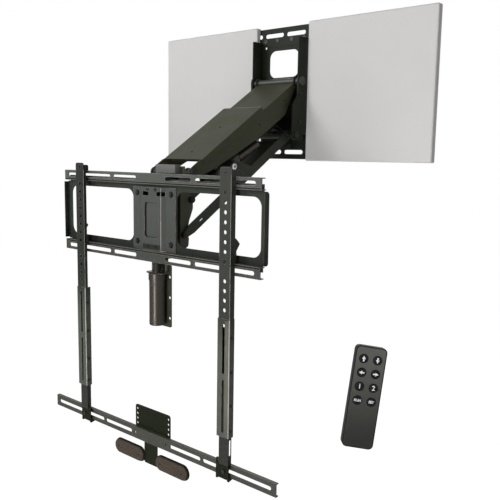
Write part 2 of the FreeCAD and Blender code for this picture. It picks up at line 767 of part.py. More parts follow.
def head_frame():
    """Folded head: two sides on a web, with the two lugs of the swivel."""
    inner = head_half_width - head_sheet
    web_back = head_web_front + sheet
    side = plate_across(head_side_corners(), inner, head_half_width)
    web = block(-inner, inner, head_web_front, web_back, head_bottom, head_top)
    foot_bottom = bottom_lug_z - lug_thickness / 2
    tongue = block(-lug_foot_half_width, lug_foot_half_width, head_web_front, web_back, foot_bottom,
                   head_bottom)
    front = swivel_behind - lug_round
    lug_corners = [(-lug_foot_half_width, head_web_front, 0), (-lug_foot_half_width, swivel_behind + 5, 6),
                   (-lug_round, swivel_behind + 1, 0), (-lug_round, front, lug_round - 0.1),
                   (lug_round, front, lug_round - 0.1), (lug_round, swivel_behind + 1, 0),
                   (lug_foot_half_width, swivel_behind + 5, 6), (lug_foot_half_width, head_web_front, 0)]
    lugs = [plate_flat(lug_corners, z - lug_thickness / 2, z + lug_thickness / 2)
            for z in (top_lug_z, bottom_lug_z)]
    head = web.fuse([tongue] + both_sides(side) + lugs)
    for z in (top_lug_z, bottom_lug_z):
        head = head.cut(rod_z(0, swivel_behind, z - 9, z + 9, swivel_shaft_radius + swivel_bush_wall))
    for x in (-head_half_width - 1, inner - 1):
        wide = x + head_sheet + 2
        head = head.cut([rod_x(x, wide, front_pivot.y - frame_y, front_pivot.z - frame_z, front_shaft_radius),
                         rod_x(x, wide, bumper_y, bumper_z, bumper_pin_radius),
                         rod_x(x, wide, lower_front_pivot.y - frame_y, lower_front_pivot.z - frame_z,
                               front_stub_radius)])
    return on_frame(head)


def head_cap():
    """Pale block that closes the head's front above the screen frame."""
    half = head_cap_half_width
    cap = block(-half, half, head_front, head_web_front, 0, head_cap_top)
    rim = [edge for edge in cap.Edges if edge.BoundBox.ZMin > head_cap_top - 0.1]
    return on_frame(cap.makeFillet(1.5, rim))


def head_pivot_pins():
    """The upper arm's front shaft with its spacers, and the lower arm's two front stubs."""
    y, z = front_pivot.y, front_pivot.z
    arm_inner = arm_half_width - sheet
    shaft = rod_x(-arm_half_width - 4, arm_half_width + 4, y, z, front_shaft_radius)
    spacer = rod_x(head_half_width, arm_inner - running_gap, y, z, front_shaft_radius + 4)
    end = rod_x(arm_half_width + 3 + running_gap, arm_half_width + 8, y, z, front_shaft_radius + 4)
    shaft = shaft.fuse(both_sides(spacer.fuse(end)))
    y, z = lower_front_pivot.y, lower_front_pivot.z
    inner = head_half_width - head_sheet
    stub = rod_x(inner - 3, lower_bar_outer + running_gap, y, z, front_stub_radius)
    flange = rod_x(inner - 3, inner, y, z, front_stub_radius + 1)
    washer = rod_x(head_half_width, lower_bar_inner - running_gap, y, z, front_stub_radius + 2)
    head = rod_x(lower_bar_outer + running_gap, lower_bar_outer + 2.6, y, z, front_stub_radius + 1.4)
    return [shaft] + both_sides(stub.fuse([flange, washer, head]))


def stop_bumper():
    """Rubber rollers on a cross pin, which the upper arm comes close to when the screen is up."""
    pin = rod_x(-bumper_half_length + 3, bumper_half_length - 3, bumper_y, bumper_z, bumper_pin_radius)
    roller = rod_x(head_half_width, bumper_half_length, bumper_y, bumper_z, bumper_radius)
    rim = [edge for edge in roller.Edges if edge.BoundBox.XMin > bumper_half_length - 0.1]
    roller = roller.makeFillet(3, rim).cut(pin)
    return [on_frame(pin)] + [on_frame(one) for one in both_sides(roller)]


def swivel_bushes():
    bushes = []
    outer = swivel_shaft_radius + swivel_bush_wall
    for z, flange_side in ((top_lug_z, -1), (bottom_lug_z, 1)):
        low, high = z - lug_thickness / 2, z + lug_thickness / 2
        flange_from = high if flange_side > 0 else low - 2
        bush = rod_z(0, swivel_behind, min(low, flange_from), max(high, flange_from + 2), outer)
        bush = bush.fuse(rod_z(0, swivel_behind, flange_from, flange_from + 2, outer + 3))
        bushes.append(on_frame(bush.cut(rod_z(0, swivel_behind, z - 20, z + 20, swivel_shaft_radius + fit))))
    return bushes


def motor_plate():
    """Bent plate that hangs from the head's lower lug and backs the swivel motor."""
    lug_under = bottom_lug_z - lug_thickness / 2
    back = swivel_behind + motor_radius
    rear = back + motor_plate_thickness
    half = motor_plate_half_width
    plate = plate_facing(rectangle(-half, half, motor_bottom - 8, motor_plate_top, 5), back, rear)
    neck = block(-20, 20, back, rear, motor_plate_top - 2, lug_under)
    flange = block(-20, 20, rear, head_web_front, lug_under - 3, lug_under)
    plate = plate.fuse([neck, flange])
    for below in motor_plate_hole_drops:
        for x in (-motor_plate_hole_x, motor_plate_hole_x):
            plate = plate.cut(rod_y(x, motor_plate_top - below, back - 1, back + 9, motor_plate_hole_radius))
    return on_frame(plate)


def swivel_gearbox():
    """Gearbox with its top flange and the two legs that hang it from the head."""
    top, bottom = gearbox_top, gearbox_top - gearbox_length
    case = rod_z(0, swivel_behind, bottom, top - 4, gearbox_radius)
    half = leg_x + 5
    leg_y = swivel_behind + leg_behind
    flange = plate_flat(rectangle(-half, half, swivel_behind - 14, leg_y + 5, 5), top - 4, top)
    boss = rod_z(0, swivel_behind, top, top + 2, coupling_radius - 2)
    lug_under = bottom_lug_z - lug_thickness / 2
    legs = [rod_z(x, leg_y, top, lug_under, leg_radius) for x in (-leg_x, leg_x)]
    case = case.cut(block(-60, 60, swivel_behind + motor_radius, 99, bottom - 1, top + 1))
    return [on_frame(case.fuse([flange, boss]))] + [on_frame(leg) for leg in legs]


def swivel_motor():
    top = gearbox_top - gearbox_length
    can = rod_z(0, swivel_behind, motor_bottom, top, motor_radius)
    rim = [edge for edge in can.Edges if edge.BoundBox.ZMax < motor_bottom + 0.1]
    can = can.makeFillet(4, rim)
    return on_frame(can)


def swivel_shaft():
    """Upright shaft of the screen frame, with the motor's coupling at its foot."""
    top = top_lug_z + lug_thickness / 2 + 3
    shaft = rod_z(0, swivel_behind, gearbox_top + 2 + running_gap, top, swivel_shaft_radius)
    coupling_top = bottom_lug_z - lug_thickness / 2 - running_gap
    coupling = rod_z(0, swivel_behind, gearbox_top + 2 + running_gap, coupling_top, coupling_radius)
    collar_foot = top_lug_z + lug_thickness / 2 + running_gap
    collar = rod_z(0, swivel_behind, collar_foot, top, swivel_shaft_radius + 4)
    return on_frame(shaft.fuse([coupling, collar]))


def frame_plate():
    """One sheet with two large windows, an opening behind the hat, and lips at its ends."""
    half = frame_plate_half_width
    rear = frame_plate_y + thin_sheet
    chamfered = [(-half, frame_plate_top, 8), (half, frame_plate_top, 8),
                 (half, frame_plate_bottom, 8), (-half, frame_plate_bottom, 8)]
    plate = plate_facing(chamfered, frame_plate_y, rear)
    spine = block(-rail_half_length + 6, rail_half_length - 6, frame_plate_y, rear,
                  rail_bolt_heights()[1] - 6, rail_bolt_heights()[0] + 6)
    plate = plate.fuse(spine)
    window = rectangle(side_window_inner, side_window_outer, side_window_bottom, side_window_top,
                       side_window_radius)
    plate = plate.cut(both_sides(plate_facing(window, frame_plate_y - 1, rear + 1)))
    opening = block(-hat_foot_half_width, hat_foot_half_width, frame_plate_y - 1, rear + 1,
                    -frame_height, frame_plate_top - 5)
    plate = plate.cut(opening)
    lip = block(half - thin_sheet, half, frame_plate_y - frame_lip, frame_plate_y,
                frame_plate_bottom + 3, frame_plate_top - 3)
    plate = plate.fuse(both_sides(lip))
    for x in (-hat_bolt_x, hat_bolt_x):
        for z in hat_bolt_z:
            plate = plate.cut(rod_y(x, z, frame_plate_y - 1, rear + 1, 3 + fit))
    for x in rail_bolt_x:
        for z in rail_bolt_heights():
            plate = plate.cut(rod_y(x, z, frame_plate_y - 1, rear + 1, 3 + fit))
    return on_frame(plate)


def rail_bolt_heights():
    """Bolts through the top rail's foot and through the bottom rail's."""
    inset = tv_rail_height - rail_bolt_inset
    return [-inset, -frame_height + inset]


def tv_rail(top, is_top):
    """Channel across the frame, its front face slotted and a bolted foot to the rear."""
    bottom = top - tv_rail_height
    half = rail_half_length
    face = block(-half, half, 0, thin_sheet, bottom, top)
    seat = rail_bolt_heights()[0 if is_top else 1]
    inner_edge, outer_edge = (bottom, top - thin_sheet) if is_top else (top - thin_sheet, bottom)
    outer_flange = block(-half, half, 0, tv_rail_depth, outer_edge, outer_edge + thin_sheet)
    inner_flange = block(-half, half, 0, frame_plate_y, inner_edge, inner_edge + thin_sheet)
    foot_from, foot_to = (bottom, seat + 5.5) if is_top else (seat - 5.5, top)
    foot = block(-half + 6, half - 6, frame_plate_y - thin_sheet, frame_plate_y, foot_from, foot_to)
    rail = face.fuse([outer_flange, inner_flange, foot])
    middle = top - 14 if is_top else bottom + 14
    for start, end in tv_rail_slots:
        for side in (-1, 1):
            slot = slot_facing(side * (start + end) / 2, middle, end - start, 11, -1, thin_sheet + 1)
            rail = rail.cut(slot)
    for x in rail_bolt_x:
        rail = rail.cut(rod_y(x, seat, frame_plate_y - 9, frame_plate_y + 1, 3 + fit))
    return on_frame(rail)


def centre_plate():
    """Hat-section plate that bridges the frame's middle over the swivel shaft."""
    front = frame_plate_y - hat_rise
    skin = thin_sheet
    foot = frame_plate_y - skin
    top = frame_plate_top - 5
    bottom = tv_rail_height + running_gap - frame_height
    profile = [(-hat_half_width, foot, 0), (-hat_foot_half_width, foot, 3), (-hat_face_half_width, front, 3),
               (hat_face_half_width, front, 3), (hat_foot_half_width, foot, 3), (hat_half_width, foot, 0),
               (hat_half_width, foot + skin, 0), (hat_foot_half_width - 0.6, foot + skin, 3),
               (hat_face_half_width - 0.6, front + skin, 3), (-hat_face_half_width + 0.6, front + skin, 3),
               (-hat_foot_half_width + 0.6, foot + skin, 3), (-hat_half_width, foot + skin, 0)]
    plate = plate_flat(profile, bottom, top)
    half = hat_panel_half_width
    panel = rectangle(-half, half, hat_panel_z[1], hat_panel_z[0], 9)
    back = rectangle(-half - skin, half + skin, hat_panel_z[1] - skin, hat_panel_z[0] + skin, 9 + skin)
    plate = plate.fuse(plate_facing(back, front + skin, front + hat_panel_depth + skin))
    plate = plate.cut(plate_facing(panel, front - 1, front + hat_panel_depth))
    for x_from, x_to in ((-hat_face_half_width + 2, -11), (21, hat_foot_half_width - 2)):
        plate = plate.cut(block(x_from, x_to, front - 1, foot + skin, top - 24, top - 12))
    for x in (-hat_bolt_x, hat_bolt_x):
        for z in hat_bolt_z:
            plate = plate.cut(rod_y(x, z, foot - 1, foot + skin + 1, 3 + fit))
    for z in hinge_block_z:
        for x in (-hinge_screw_x, hinge_screw_x):
            plate = plate.cut(rod_y(x, z, front - 1, front + skin + 1, 2.5 + fit))
    return on_frame(plate)


def hinge_blocks():
    """Blocks inside the hat that grip the swivel shaft."""
    front = frame_plate_y - hat_rise + thin_sheet
    blocks = []
    for z in hinge_block_z:
        low, high = z - hinge_block_height / 2, z + hinge_block_height / 2
        half = hinge_block_half_width
        body = plate_flat([(-half, front, 2), (half, front, 2), (half, swivel_behind + 2, 8),
                           (14, swivel_behind + 15, 6), (-14, swivel_behind + 15, 6),
                           (-half, swivel_behind + 2, 8)], low, high)
        body = body.cut(rod_z(0, swivel_behind, low - 1, high + 1, swivel_shaft_radius + fit))
        for x in (-hinge_screw_x, hinge_screw_x):
            body = body.cut(rod_y(x, z, front - 1, front + 10, 2.5 + fit))
        blocks.append(on_frame(body))
    return blocks


def frame_bolts():
    bolts = []
    foot = frame_plate_y - thin_sheet
    for x in (-hat_bolt_x, hat_bolt_x):
        for z in hat_bolt_z:
            bolts.append(bolt_y(x, z, foot, 2 * thin_sheet + 2, 3))
    for x in rail_bolt_x:
        for z in rail_bolt_heights():
            bolts.append(bolt_y(x, z, foot, 2 * thin_sheet + 2, 3))
    front = frame_plate_y - hat_rise
    for z in hinge_block_z:
        for x in (-hinge_screw_x, hinge_screw_x):
            shank = rod_y(x, z, front, front + 10, 2.5)
            bolts.append(rod_y(x, z, front - 2, front, 4.5).fuse(shank))
    return [on_frame(bolt) for bolt in bolts]


def tv_bar():
    """Right-hand upright: folded channel, hook over the top rail, sleeve round its lower half."""
    left, right = bar_x - bar_width / 2, bar_x + bar_width / 2
    front = bar_front
    skin = thin_sheet
    face = plate_facing([(left, bar_bottom, 0), (right, bar_bottom, 0), (right, bar_top, 7),
                         (left, bar_top, 7)],
                        front, front + skin)
    flange_profile = [(front, bar_bottom, 0), (front, bar_top - 7, 3), (front + 6, hook_top - 2, 3),
                      (hook_back, hook_top - 2, 6), (hook_back, hook_tip, 3),
                      (tv_rail_depth + 0.2, hook_tip, 2), (tv_rail_depth + 0.2, 0, 0), (0, 0, 0),
                      (0, bar_bottom, 0)]
    flange = plate_across(flange_profile, right - skin, right)
    twin = block(left, left + skin, front, front + bar_left_flange, bar_bottom, bar_top - 7)
    bar = face.fuse([flange, twin])
    sleeve_left, sleeve_right = left - bar_sleeve_sheet, right + bar_sleeve_sheet
    sleeve = block(sleeve_left, sleeve_right, front - bar_sleeve_sheet, 0, bar_bottom, bar_sleeve_top)
    sleeve = sleeve.cut(block(left, right, front, 9, bar_bottom - 1, bar_sleeve_top + 1))
    bar = bar.fuse(sleeve)
    for step in tv_hole_steps:
        z = tv_hole_first - step * tv_hole_pitch
        bar = bar.cut(rod_y(bar_x, z, front - 5, front + 5, tv_hole_radius))
    bar = bar.cut(rod_y(bar_x, bar_top - 13, front - 5, front + 5, 3.2))
    for top, bottom in bar_slots:
        middle = bar_bottom + (top + bottom) / 2
        bar = bar.cut(slot_facing(bar_x, middle, top - bottom, bar_slot_width, front - 5, front + 5,
                                  upright=True))
    bar = bar.cut(rod_x(right - 9, right + 9, latch_pivot_y, latch_pivot_z, latch_pin_radius + fit))
    for z in bar_rivet_places():
        bar = bar.cut(rod_x(left - 9, right + 9, bar_rivet_y, z, 2.5 + fit))
    return on_frame(bar)


def bar_rivet_places():
    return [bar_bottom + rise for rise in (18, 88, 178, 268)]


def tv_latch():
    """Right-hand latch plate that keeps the bar's foot on the lower rail."""
    x_from = bar_x + bar_width / 2 - thin_sheet - latch_sheet - running_gap
    y, z = latch_pivot_y, latch_pivot_z
    seat = -frame_height + tv_rail_height + running_gap
    corners = [(y - 3.5, z - 4.5, 3), (y + 8, z - 10, 3), (y + 10, seat, 2), (y + 20, seat, 2),
               (y + 20, seat + 9, 4), (y + 17, z + 8, 5), (y + 31, z + 26, 4), (y + 12, z + 44, 5),
               (y + 4, z + 36, 5), (y - 3.5, z + 4.5, 3)]
    plate = plate_across(corners, x_from, x_from + latch_sheet)
    plate = plate.cut(rod_x(x_from - 1, x_from + 9, y, z, latch_pin_radius + fit))
    return on_frame(plate)


def bar_fixings():
    """Latch pins and the rivets that join each sleeve to its bar."""
    right = bar_x + bar_width / 2
    left = bar_x - bar_width / 2
    inner = right - thin_sheet - latch_sheet - 2 * running_gap
    pieces = []
    pin = rod_x(inner, right, latch_pivot_y, latch_pivot_z, latch_pin_radius)
    head = rod_x(right, right + 2, latch_pivot_y, latch_pivot_z, latch_pin_radius + 2)
    keeper = rod_x(inner - 1.5, inner, latch_pivot_y, latch_pivot_z, latch_pin_radius + 1.5)
    pieces.append(pin.fuse([head, keeper]))
    outer = right + bar_sleeve_sheet
    for z in bar_rivet_places():
        shank = rod_x(right - thin_sheet, outer, bar_rivet_y, z, 2.5)
        pieces.append(shank.fuse(rod_x(outer, outer + 2, bar_rivet_y, z, 4.5)))
        shank = rod_x(left - bar_sleeve_sheet, left + thin_sheet, bar_rivet_y, z, 2.5)
        rivet_head = rod_x(left - bar_sleeve_sheet - 2, left - bar_sleeve_sheet, bar_rivet_y, z, 4.5)
        pieces.append(shank.fuse(rivet_head))
    placed = []
    for piece in pieces:
        placed += both_sides(on_frame(piece))
    return placed


def extension_bars():
    """Inner channels that slide in the uprights and carry the sound bar rail."""
    half = bar_width / 2 - thin_sheet - running_gap
    front = bar_front + thin_sheet + running_gap
    left, right = bar_x - half, bar_x + half
    outer = block(left, right, front, -1, extension_bottom, extension_top)
    inner = block(left + 2, right - 2, front + 2, 9, extension_bottom - 1, extension_top + 1)
    bar = outer.cut(inner)
    window = rectangle(front + 5, -3, extension_window[0], extension_window[1], 3)
    bar = bar.cut(plate_across(window, right - 5, right + 5))
    bar = bar.cut(rod_y(bar_x, extension_bottom + 12, front - 5, front + 5, 3 + fit))
    return both_sides(on_frame(bar))


def soundbar_clamps():
    """Clamps that grip the sound bar rail under each extension bar, with an eye at the outer side."""
    front = bar_front + thin_sheet + running_gap + 2
    half = bar_width / 2 - thin_sheet - running_gap - 2 - running_gap
    back = front + clamp_sheet
    rail_bottom = soundbar_top - soundbar_height
    left, right = bar_x - half, bar_x + half
    outer, inner = left - clamp_reach, right + clamp_lip
    tongue = block(left, right, front, back, soundbar_top, soundbar_top + clamp_tongue)
    face = block(outer, inner, front, back, rail_bottom - clamp_lip, soundbar_top)
    shelf_z = soundbar_top - clamp_shelf_drop
    shelf = block(outer, inner, front, soundbar_front - 0.2, shelf_z - clamp_sheet, shelf_z)
    eye_x = outer + clamp_ear_radius
    ear_round = clamp_ear_radius - 0.1
    ear = plate_facing([(outer, soundbar_top - 4, 0), (eye_x + clamp_ear_radius, soundbar_top - 4, 0),
                        (eye_x + clamp_ear_radius, clamp_ear_top, ear_round),
                        (outer, clamp_ear_top, ear_round)], front, back)
    ear = ear.cut(rod_y(eye_x, clamp_ear_top - clamp_ear_radius, front - 1, back + 1, clamp_eye_radius))
    hook_top = rail_bottom - running_gap
    hooks = []
    for x in (outer, inner - clamp_hook_width):
        hooks.append(plate_across([(front, rail_bottom + clamp_hook_reach, 0),
                                   (back, rail_bottom + clamp_hook_reach, 0),
                                   (soundbar_front - running_gap, hook_top, 0),
                                   (soundbar_front + clamp_hook_reach, hook_top, 1),
                                   (soundbar_front + clamp_hook_reach, rail_bottom - 5, 2),
                                   (front, rail_bottom - clamp_hook_reach, 3)], x, x + clamp_hook_width))
    clamp = tongue.fuse([face, shelf, ear] + hooks)
    for z in (clamp_bolt_z(), extension_bottom + 12):
        clamp = clamp.cut(rod_y(bar_x, z, front - 5, back + 1, clamp_bolt_radius + fit))
    return both_sides(on_frame(clamp))


def clamp_bolt_z():
    return soundbar_top - soundbar_height / 2


def carriage_screws():
    front = bar_front + thin_sheet + running_gap
    screws = []
    for x in (-bar_x, bar_x):
        clamp_bolt = bolt_y(x, clamp_bolt_z(), front + 2, soundbar_front + thin_sheet + 6 - front,
                            clamp_bolt_radius)
        nut = hexagon_y(x, clamp_bolt_z(), soundbar_front + thin_sheet, soundbar_front + thin_sheet + 4, 11)
        rivet = rod_y(x, extension_bottom + 12, front, front + 2 + clamp_sheet, 3)
        screws += [on_frame(clamp_bolt.fuse(nut)), on_frame(rivet)]
    y = soundbar_front + thin_sheet
    for x in pad_screw_places():
        shank = rod_y(x, pad_z, y - pad_thickness, y + pad_rim, 2)
        head = rod_y(x, pad_z, y - pad_thickness - 1, y - pad_thickness, 3.5)
        screws.append(on_frame(shank.fuse(head)))
    return screws


def pad_screw_places():
    places = [pad_centre_x - pad_half_run, pad_centre_x + pad_half_run]
    return places + [-x for x in places]


def soundbar_rail():
    top, bottom = soundbar_top, soundbar_top - soundbar_height
    half = soundbar_half_length
    front = soundbar_front
    face = block(-half, half, front, front + thin_sheet, bottom, top)
    flanges = [block(-half, half, front, front + soundbar_depth, top - thin_sheet, top),
               block(-half, half, front, front + soundbar_depth, bottom, bottom + thin_sheet)]
    rail = face.fuse(flanges)
    middle = (top + bottom) / 2
    for start, end in ((82, 205), (215, 452)):
        for side in (-1, 1):
            slot = slot_facing(side * (start + end) / 2, middle, end - start, 11, front - 1, front + 5)
            rail = rail.cut(slot)
    for x in (-66, 66):
        rail = rail.cut(rod_y(x, middle, front - 1, front + 5, 3))
    notch_half = stem_half_width + running_gap
    rail = rail.cut(block(-notch_half, notch_half, front + thin_sheet,
                          front + thin_sheet + pad_rim + running_gap,
                          bottom - 1, bottom + thin_sheet + 1))
    return on_frame(rail)


def soundbar_plate():
    """Upright plate behind the rail, with a column of holes at each side."""
    back = soundbar_front + soundbar_depth
    half = back_plate_half_width
    foot = soundbar_top - soundbar_height
    plate = plate_facing([(-half, foot, 0), (half, foot, 0),
                          (half, back_plate_top, 8), (-half, back_plate_top, 8)], back, back + thin_sheet)
    for i in range(back_plate_hole_count):
        z = back_plate_top - 13 - i * back_plate_hole_pitch
        for x in (-back_plate_hole_x, back_plate_hole_x):
            plate = plate.cut(rod_y(x, z, back - 1, back + 9, back_plate_hole_radius))
    return on_frame(plate)


def capsule_corners(centre, radius):
    reach = pad_half_run + radius
    end = radius - 0.01
    return [(centre - reach, pad_z - radius, end), (centre + reach, pad_z - radius, end),
            (centre + reach, pad_z + radius, end), (centre - reach, pad_z + radius, end)]


def pad_bracket():
    """Stem down from the rail with a backing plate for each pad."""
    y = soundbar_front + thin_sheet
    stem = plate_facing([(-stem_half_width, stem_bottom, 5), (stem_half_width, stem_bottom, 5),
                         (stem_half_width, soundbar_top - thin_sheet, 0),
                         (-stem_half_width, soundbar_top - thin_sheet, 0)], y, y + pad_rim)
    wings = [plate_facing(capsule_corners(side * pad_centre_x, pad_radius + pad_rim), y, y + pad_rim)
             for side in (-1, 1)]
    bracket = stem.fuse(wings)
    for x in pad_screw_places():
        bracket = bracket.cut(rod_y(x, pad_z, y - 1, y + 9, 2 + fit))
    return on_frame(bracket)


def soundbar_pads():
    """Soft-faced capsule pads on the bracket's two wings."""
    y = soundbar_front + thin_sheet
    pads = []
    for side in (-1, 1):
        pad = plate_facing(capsule_corners(side * pad_centre_x, pad_radius), y - pad_thickness, y)
        rim = [edge for edge in pad.Edges if edge.BoundBox.YMax < y - pad_thickness + 0.1]
        pad = pad.makeFillet(3, rim)
        for x in pad_screw_places():
            pad = pad.cut(rod_y(x, pad_z, y - pad_thickness - 1, y + 1, 2 + fit))
        pads.append(on_frame(pad))
    return pads


def on_remote(shape):
    """Place the hand control, drawn upright about the middle of its back."""
    placed = shape.copy()
    turn = Rotation(Vector(0, 0, 1), remote_turn)
    turn = turn.multiply(Rotation(Vector(1, 0, 0), -remote_lean))
    turn = turn.multiply(Rotation(Vector(0, 1, 0), remote_tilt))
    placed.Placement = Placement(Vector(remote_x, remote_y, remote_z), turn).multiply(placed.Placement)
    return placed


def remote_shell(y_from, y_to, front):
    half_w, half_h = remote_width / 2, remote_height / 2
    shell = plate_facing(rectangle(-half_w, half_w, -half_h, half_h, remote_corner), y_from, y_to)
    face_y = y_from if front else y_to
    rim = [edge for edge in shell.Edges if abs(edge.BoundBox.YMin - face_y) < 0.01
           and abs(edge.BoundBox.YMax - face_y) < 0.01]
    return shell.makeFillet(1.5, rim)


def remote_back():
    return on_remote(remote_shell(-remote_split, 0, False))


def remote_front():
    front = remote_shell(-remote_depth, -remote_split, True)
    for x, z in button_places():
        well = rod_y(x, z, -remote_depth - 1, -remote_depth + button_well, button_radius + running_gap)
        front = front.cut(well)
    return on_remote(front)


def button_places():
    return [(x, z) for z in button_rows for x in (-button_x, button_x)]


def remote_button(x, z):
    foot = -remote_depth + button_well - button_travel - running_gap
    button = rod_y(x, z, -remote_depth - button_rise, foot, button_radius)
    rim = [edge for edge in button.Edges if edge.BoundBox.YMax < -remote_depth - button_rise + 0.1]
    return on_remote(button.makeFillet(0.8, rim))


button_names = ["button_up", "button_down", "button_left", "button_right",
                "button_one", "button_two", "button_run", "button_set"]

pieces = {
    "wall_top_rail": lambda: wall_rail(rail_z),
    "wall_bottom_rail": lambda: wall_rail(-rail_z),
    "wall_bracket": wall_bracket,
    "pivot_cheeks": pivot_cheeks,
    "wall_bolts": wall_bolts,
    "upper_pivot_shaft": upper_pivot_shaft,
    "lower_pivot_pin": lower_pivot_pin,
    "actuator_anchor": actuator_anchor,
    "right_cover": wall_cover,
    "left_cover": lambda: mirror_x(wall_cover()),
    "cover_clips": cover_clips,
    "control_box": control_box,
    "upper_arm": upper_arm,
    "arm_cover": arm_cover,
    "arm_cover_screws": arm_cover_screws,
    "arm_bushes": arm_bushes,
    "lower_arm": lower_arm,
    "actuator_cross_pin": actuator_cross_pin,
    "ear_caps": ear_caps,
    "actuator_housing": actuator_housing,
    "actuator_tube": actuator_tube,
    "lift_motor": lift_motor,
    "actuator_rod": actuator_rod,
    "head_frame": head_frame,
    "head_cap": head_cap,
    "head_pivot_pins": head_pivot_pins,
    "stop_bumper": stop_bumper,
    "swivel_bushes": swivel_bushes,
    "motor_plate": motor_plate,
    "swivel_gearbox": swivel_gearbox,
    "swivel_motor": swivel_motor,
    "swivel_shaft": swivel_shaft,
    "frame_plate": frame_plate,
    "top_tv_rail": lambda: tv_rail(0, True),
    "bottom_tv_rail": lambda: tv_rail(-frame_height + tv_rail_height, False),
    "centre_plate": centre_plate,
    "hinge_blocks": hinge_blocks,
    "frame_bolts": frame_bolts,
    "right_tv_bar": tv_bar,
    "left_tv_bar": lambda: mirror_x(tv_bar()),
    "right_latch": tv_latch,
    "left_latch": lambda: mirror_x(tv_latch()),
    "bar_fixings": bar_fixings,
    "extension_bars": extension_bars,
    "soundbar_clamps": soundbar_clamps,
    "carriage_screws": carriage_screws,
    "soundbar_rail": soundbar_rail,
    "soundbar_plate": soundbar_plate,
    "pad_bracket": pad_bracket,
    "soundbar_pads": soundbar_pads,
    "remote_front": remote_front,
    "remote_back": remote_back,
}
for name, place in zip(button_names, button_places()):
    pieces[name] = lambda place=place: remote_button(*place)

os.makedirs("parts", exist_ok=True)
for name, make in pieces.items():
    save(name, make())
print(len(pieces), "pieces written")
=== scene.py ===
# Motorised drop-down television mount: finishes, detailed pieces, stage and camera.
import bpy
import json
import math
from mathutils import Matrix, Vector


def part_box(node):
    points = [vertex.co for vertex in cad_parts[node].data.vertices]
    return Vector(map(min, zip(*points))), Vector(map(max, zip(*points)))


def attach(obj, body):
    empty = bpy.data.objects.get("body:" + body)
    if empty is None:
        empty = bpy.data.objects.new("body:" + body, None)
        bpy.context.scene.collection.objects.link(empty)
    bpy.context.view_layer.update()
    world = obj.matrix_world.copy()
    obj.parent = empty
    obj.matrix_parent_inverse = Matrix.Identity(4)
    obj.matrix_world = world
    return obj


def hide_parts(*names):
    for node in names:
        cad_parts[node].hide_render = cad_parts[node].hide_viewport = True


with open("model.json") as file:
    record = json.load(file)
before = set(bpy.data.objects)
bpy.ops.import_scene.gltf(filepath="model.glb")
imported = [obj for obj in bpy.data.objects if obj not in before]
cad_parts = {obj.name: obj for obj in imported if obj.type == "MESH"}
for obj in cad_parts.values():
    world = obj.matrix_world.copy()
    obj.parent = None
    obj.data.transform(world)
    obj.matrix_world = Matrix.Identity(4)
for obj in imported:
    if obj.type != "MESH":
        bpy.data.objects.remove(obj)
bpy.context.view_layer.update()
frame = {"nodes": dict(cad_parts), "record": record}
nodes = frame["nodes"]
print("loaded", len(nodes), "nodes")

# fitted to the photograph: metres, degrees, and millimetres for lens and sensor
camera = {"place": (1.3995, -1.851, -0.2193), "turn": 39.79, "down": 7.95, "roll": 0.97, "lens": 47.5,
          "sensor": 36, "clip": 90}


def addCamera():
    lens = bpy.data.cameras.new("photoCamera")
    lens.lens = camera["lens"]
    lens.sensor_width = camera["sensor"]
    lens.clip_end = camera["clip"]
    holder = bpy.data.objects.new("photoCamera", lens)
    bpy.context.scene.collection.objects.link(holder)
    turn = Matrix.Rotation(math.radians(camera["turn"]), 4, "Z")
    tilt = Matrix.Rotation(math.radians(90 - camera["down"]), 4, "X")
    roll = Matrix.Rotation(math.radians(camera["roll"]), 4, "Z")
    holder.matrix_world = Matrix.Translation(camera["place"]) @ turn @ tilt @ roll
    bpy.context.scene.camera = holder


addCamera()
print("camera set")


def newGroup(name, inputs, outputs):
    group = bpy.data.node_groups.new(name, "ShaderNodeTree")
    for label, kind, value in inputs:
        socket = group.interface.new_socket(label, in_out="INPUT", socket_type=kind)
        if value is not None:
            socket.default_value = value
    for label, kind in outputs:
        group.interface.new_socket(label, in_out="OUTPUT", socket_type=kind)
    return group, group.nodes.new("NodeGroupInput"), group.nodes.new("NodeGroupOutput")


def addNode(tree, kind, settings=None, **sockets):
    node = tree.nodes.new(kind)
    for key, value in (settings or {}).items():
        setattr(node, key, value)
    for key, value in sockets.items():
        socket = node.inputs[int(key[1:])] if key[0] == "i" and key[1:].isdigit() else node.inputs[key]
        if hasattr(value, "is_output"):
            tree.links.new(value, socket)
        else:
            socket.default_value = value
    return node


def addMath(tree, kind, *values):
    return addNode(tree, "ShaderNodeMath", {"operation": kind},
                   **{"i" + str(k): value for k, value in enumerate(values)}).outputs[0]


def addRange(tree, value, low, high):
    node = addNode(tree, "ShaderNodeMapRange", {"clamp": True}, Value=value)
    node.inputs["From Min"].default_value = low
    node.inputs["From Max"].default_value = high
    return node.outputs["Result"]


# noise settings, and the ranges of noise, bevel and occlusion that each shader group picks out
noise = {"dust": {"Detail": 3.0}, "mottle": {"Scale": 9.0, "Detail": 5.0, "Roughness": 0.6},
         "wearAndHighlight": {"Scale": 60.0, "Detail": 4.0}, "streak": {"Scale": 1.0, "Detail": 3.0},
         "patch": {"Scale": 22.0, "Detail": 2.0}}
pattern = {"wearAndHighlightEdge": (0.995, 0.86), "brokenWearAndHighlight": (0.34, 0.58), "openCorner": (0.25, 0.92),
           "streak": (0.62, 0.72), "patch": (0.5, 0.62), "roughGain": 0.8,
           "lie": {"Rotation": (0.6, 0.3, 0.9), "Scale": (14, 320, 320)}}
samples = {"bevel": 4, "corner": 6}
plainColor = (0.05, 0.05, 0.05, 1)
paleEdgeColor = (0.2, 0.2, 0.2, 1)


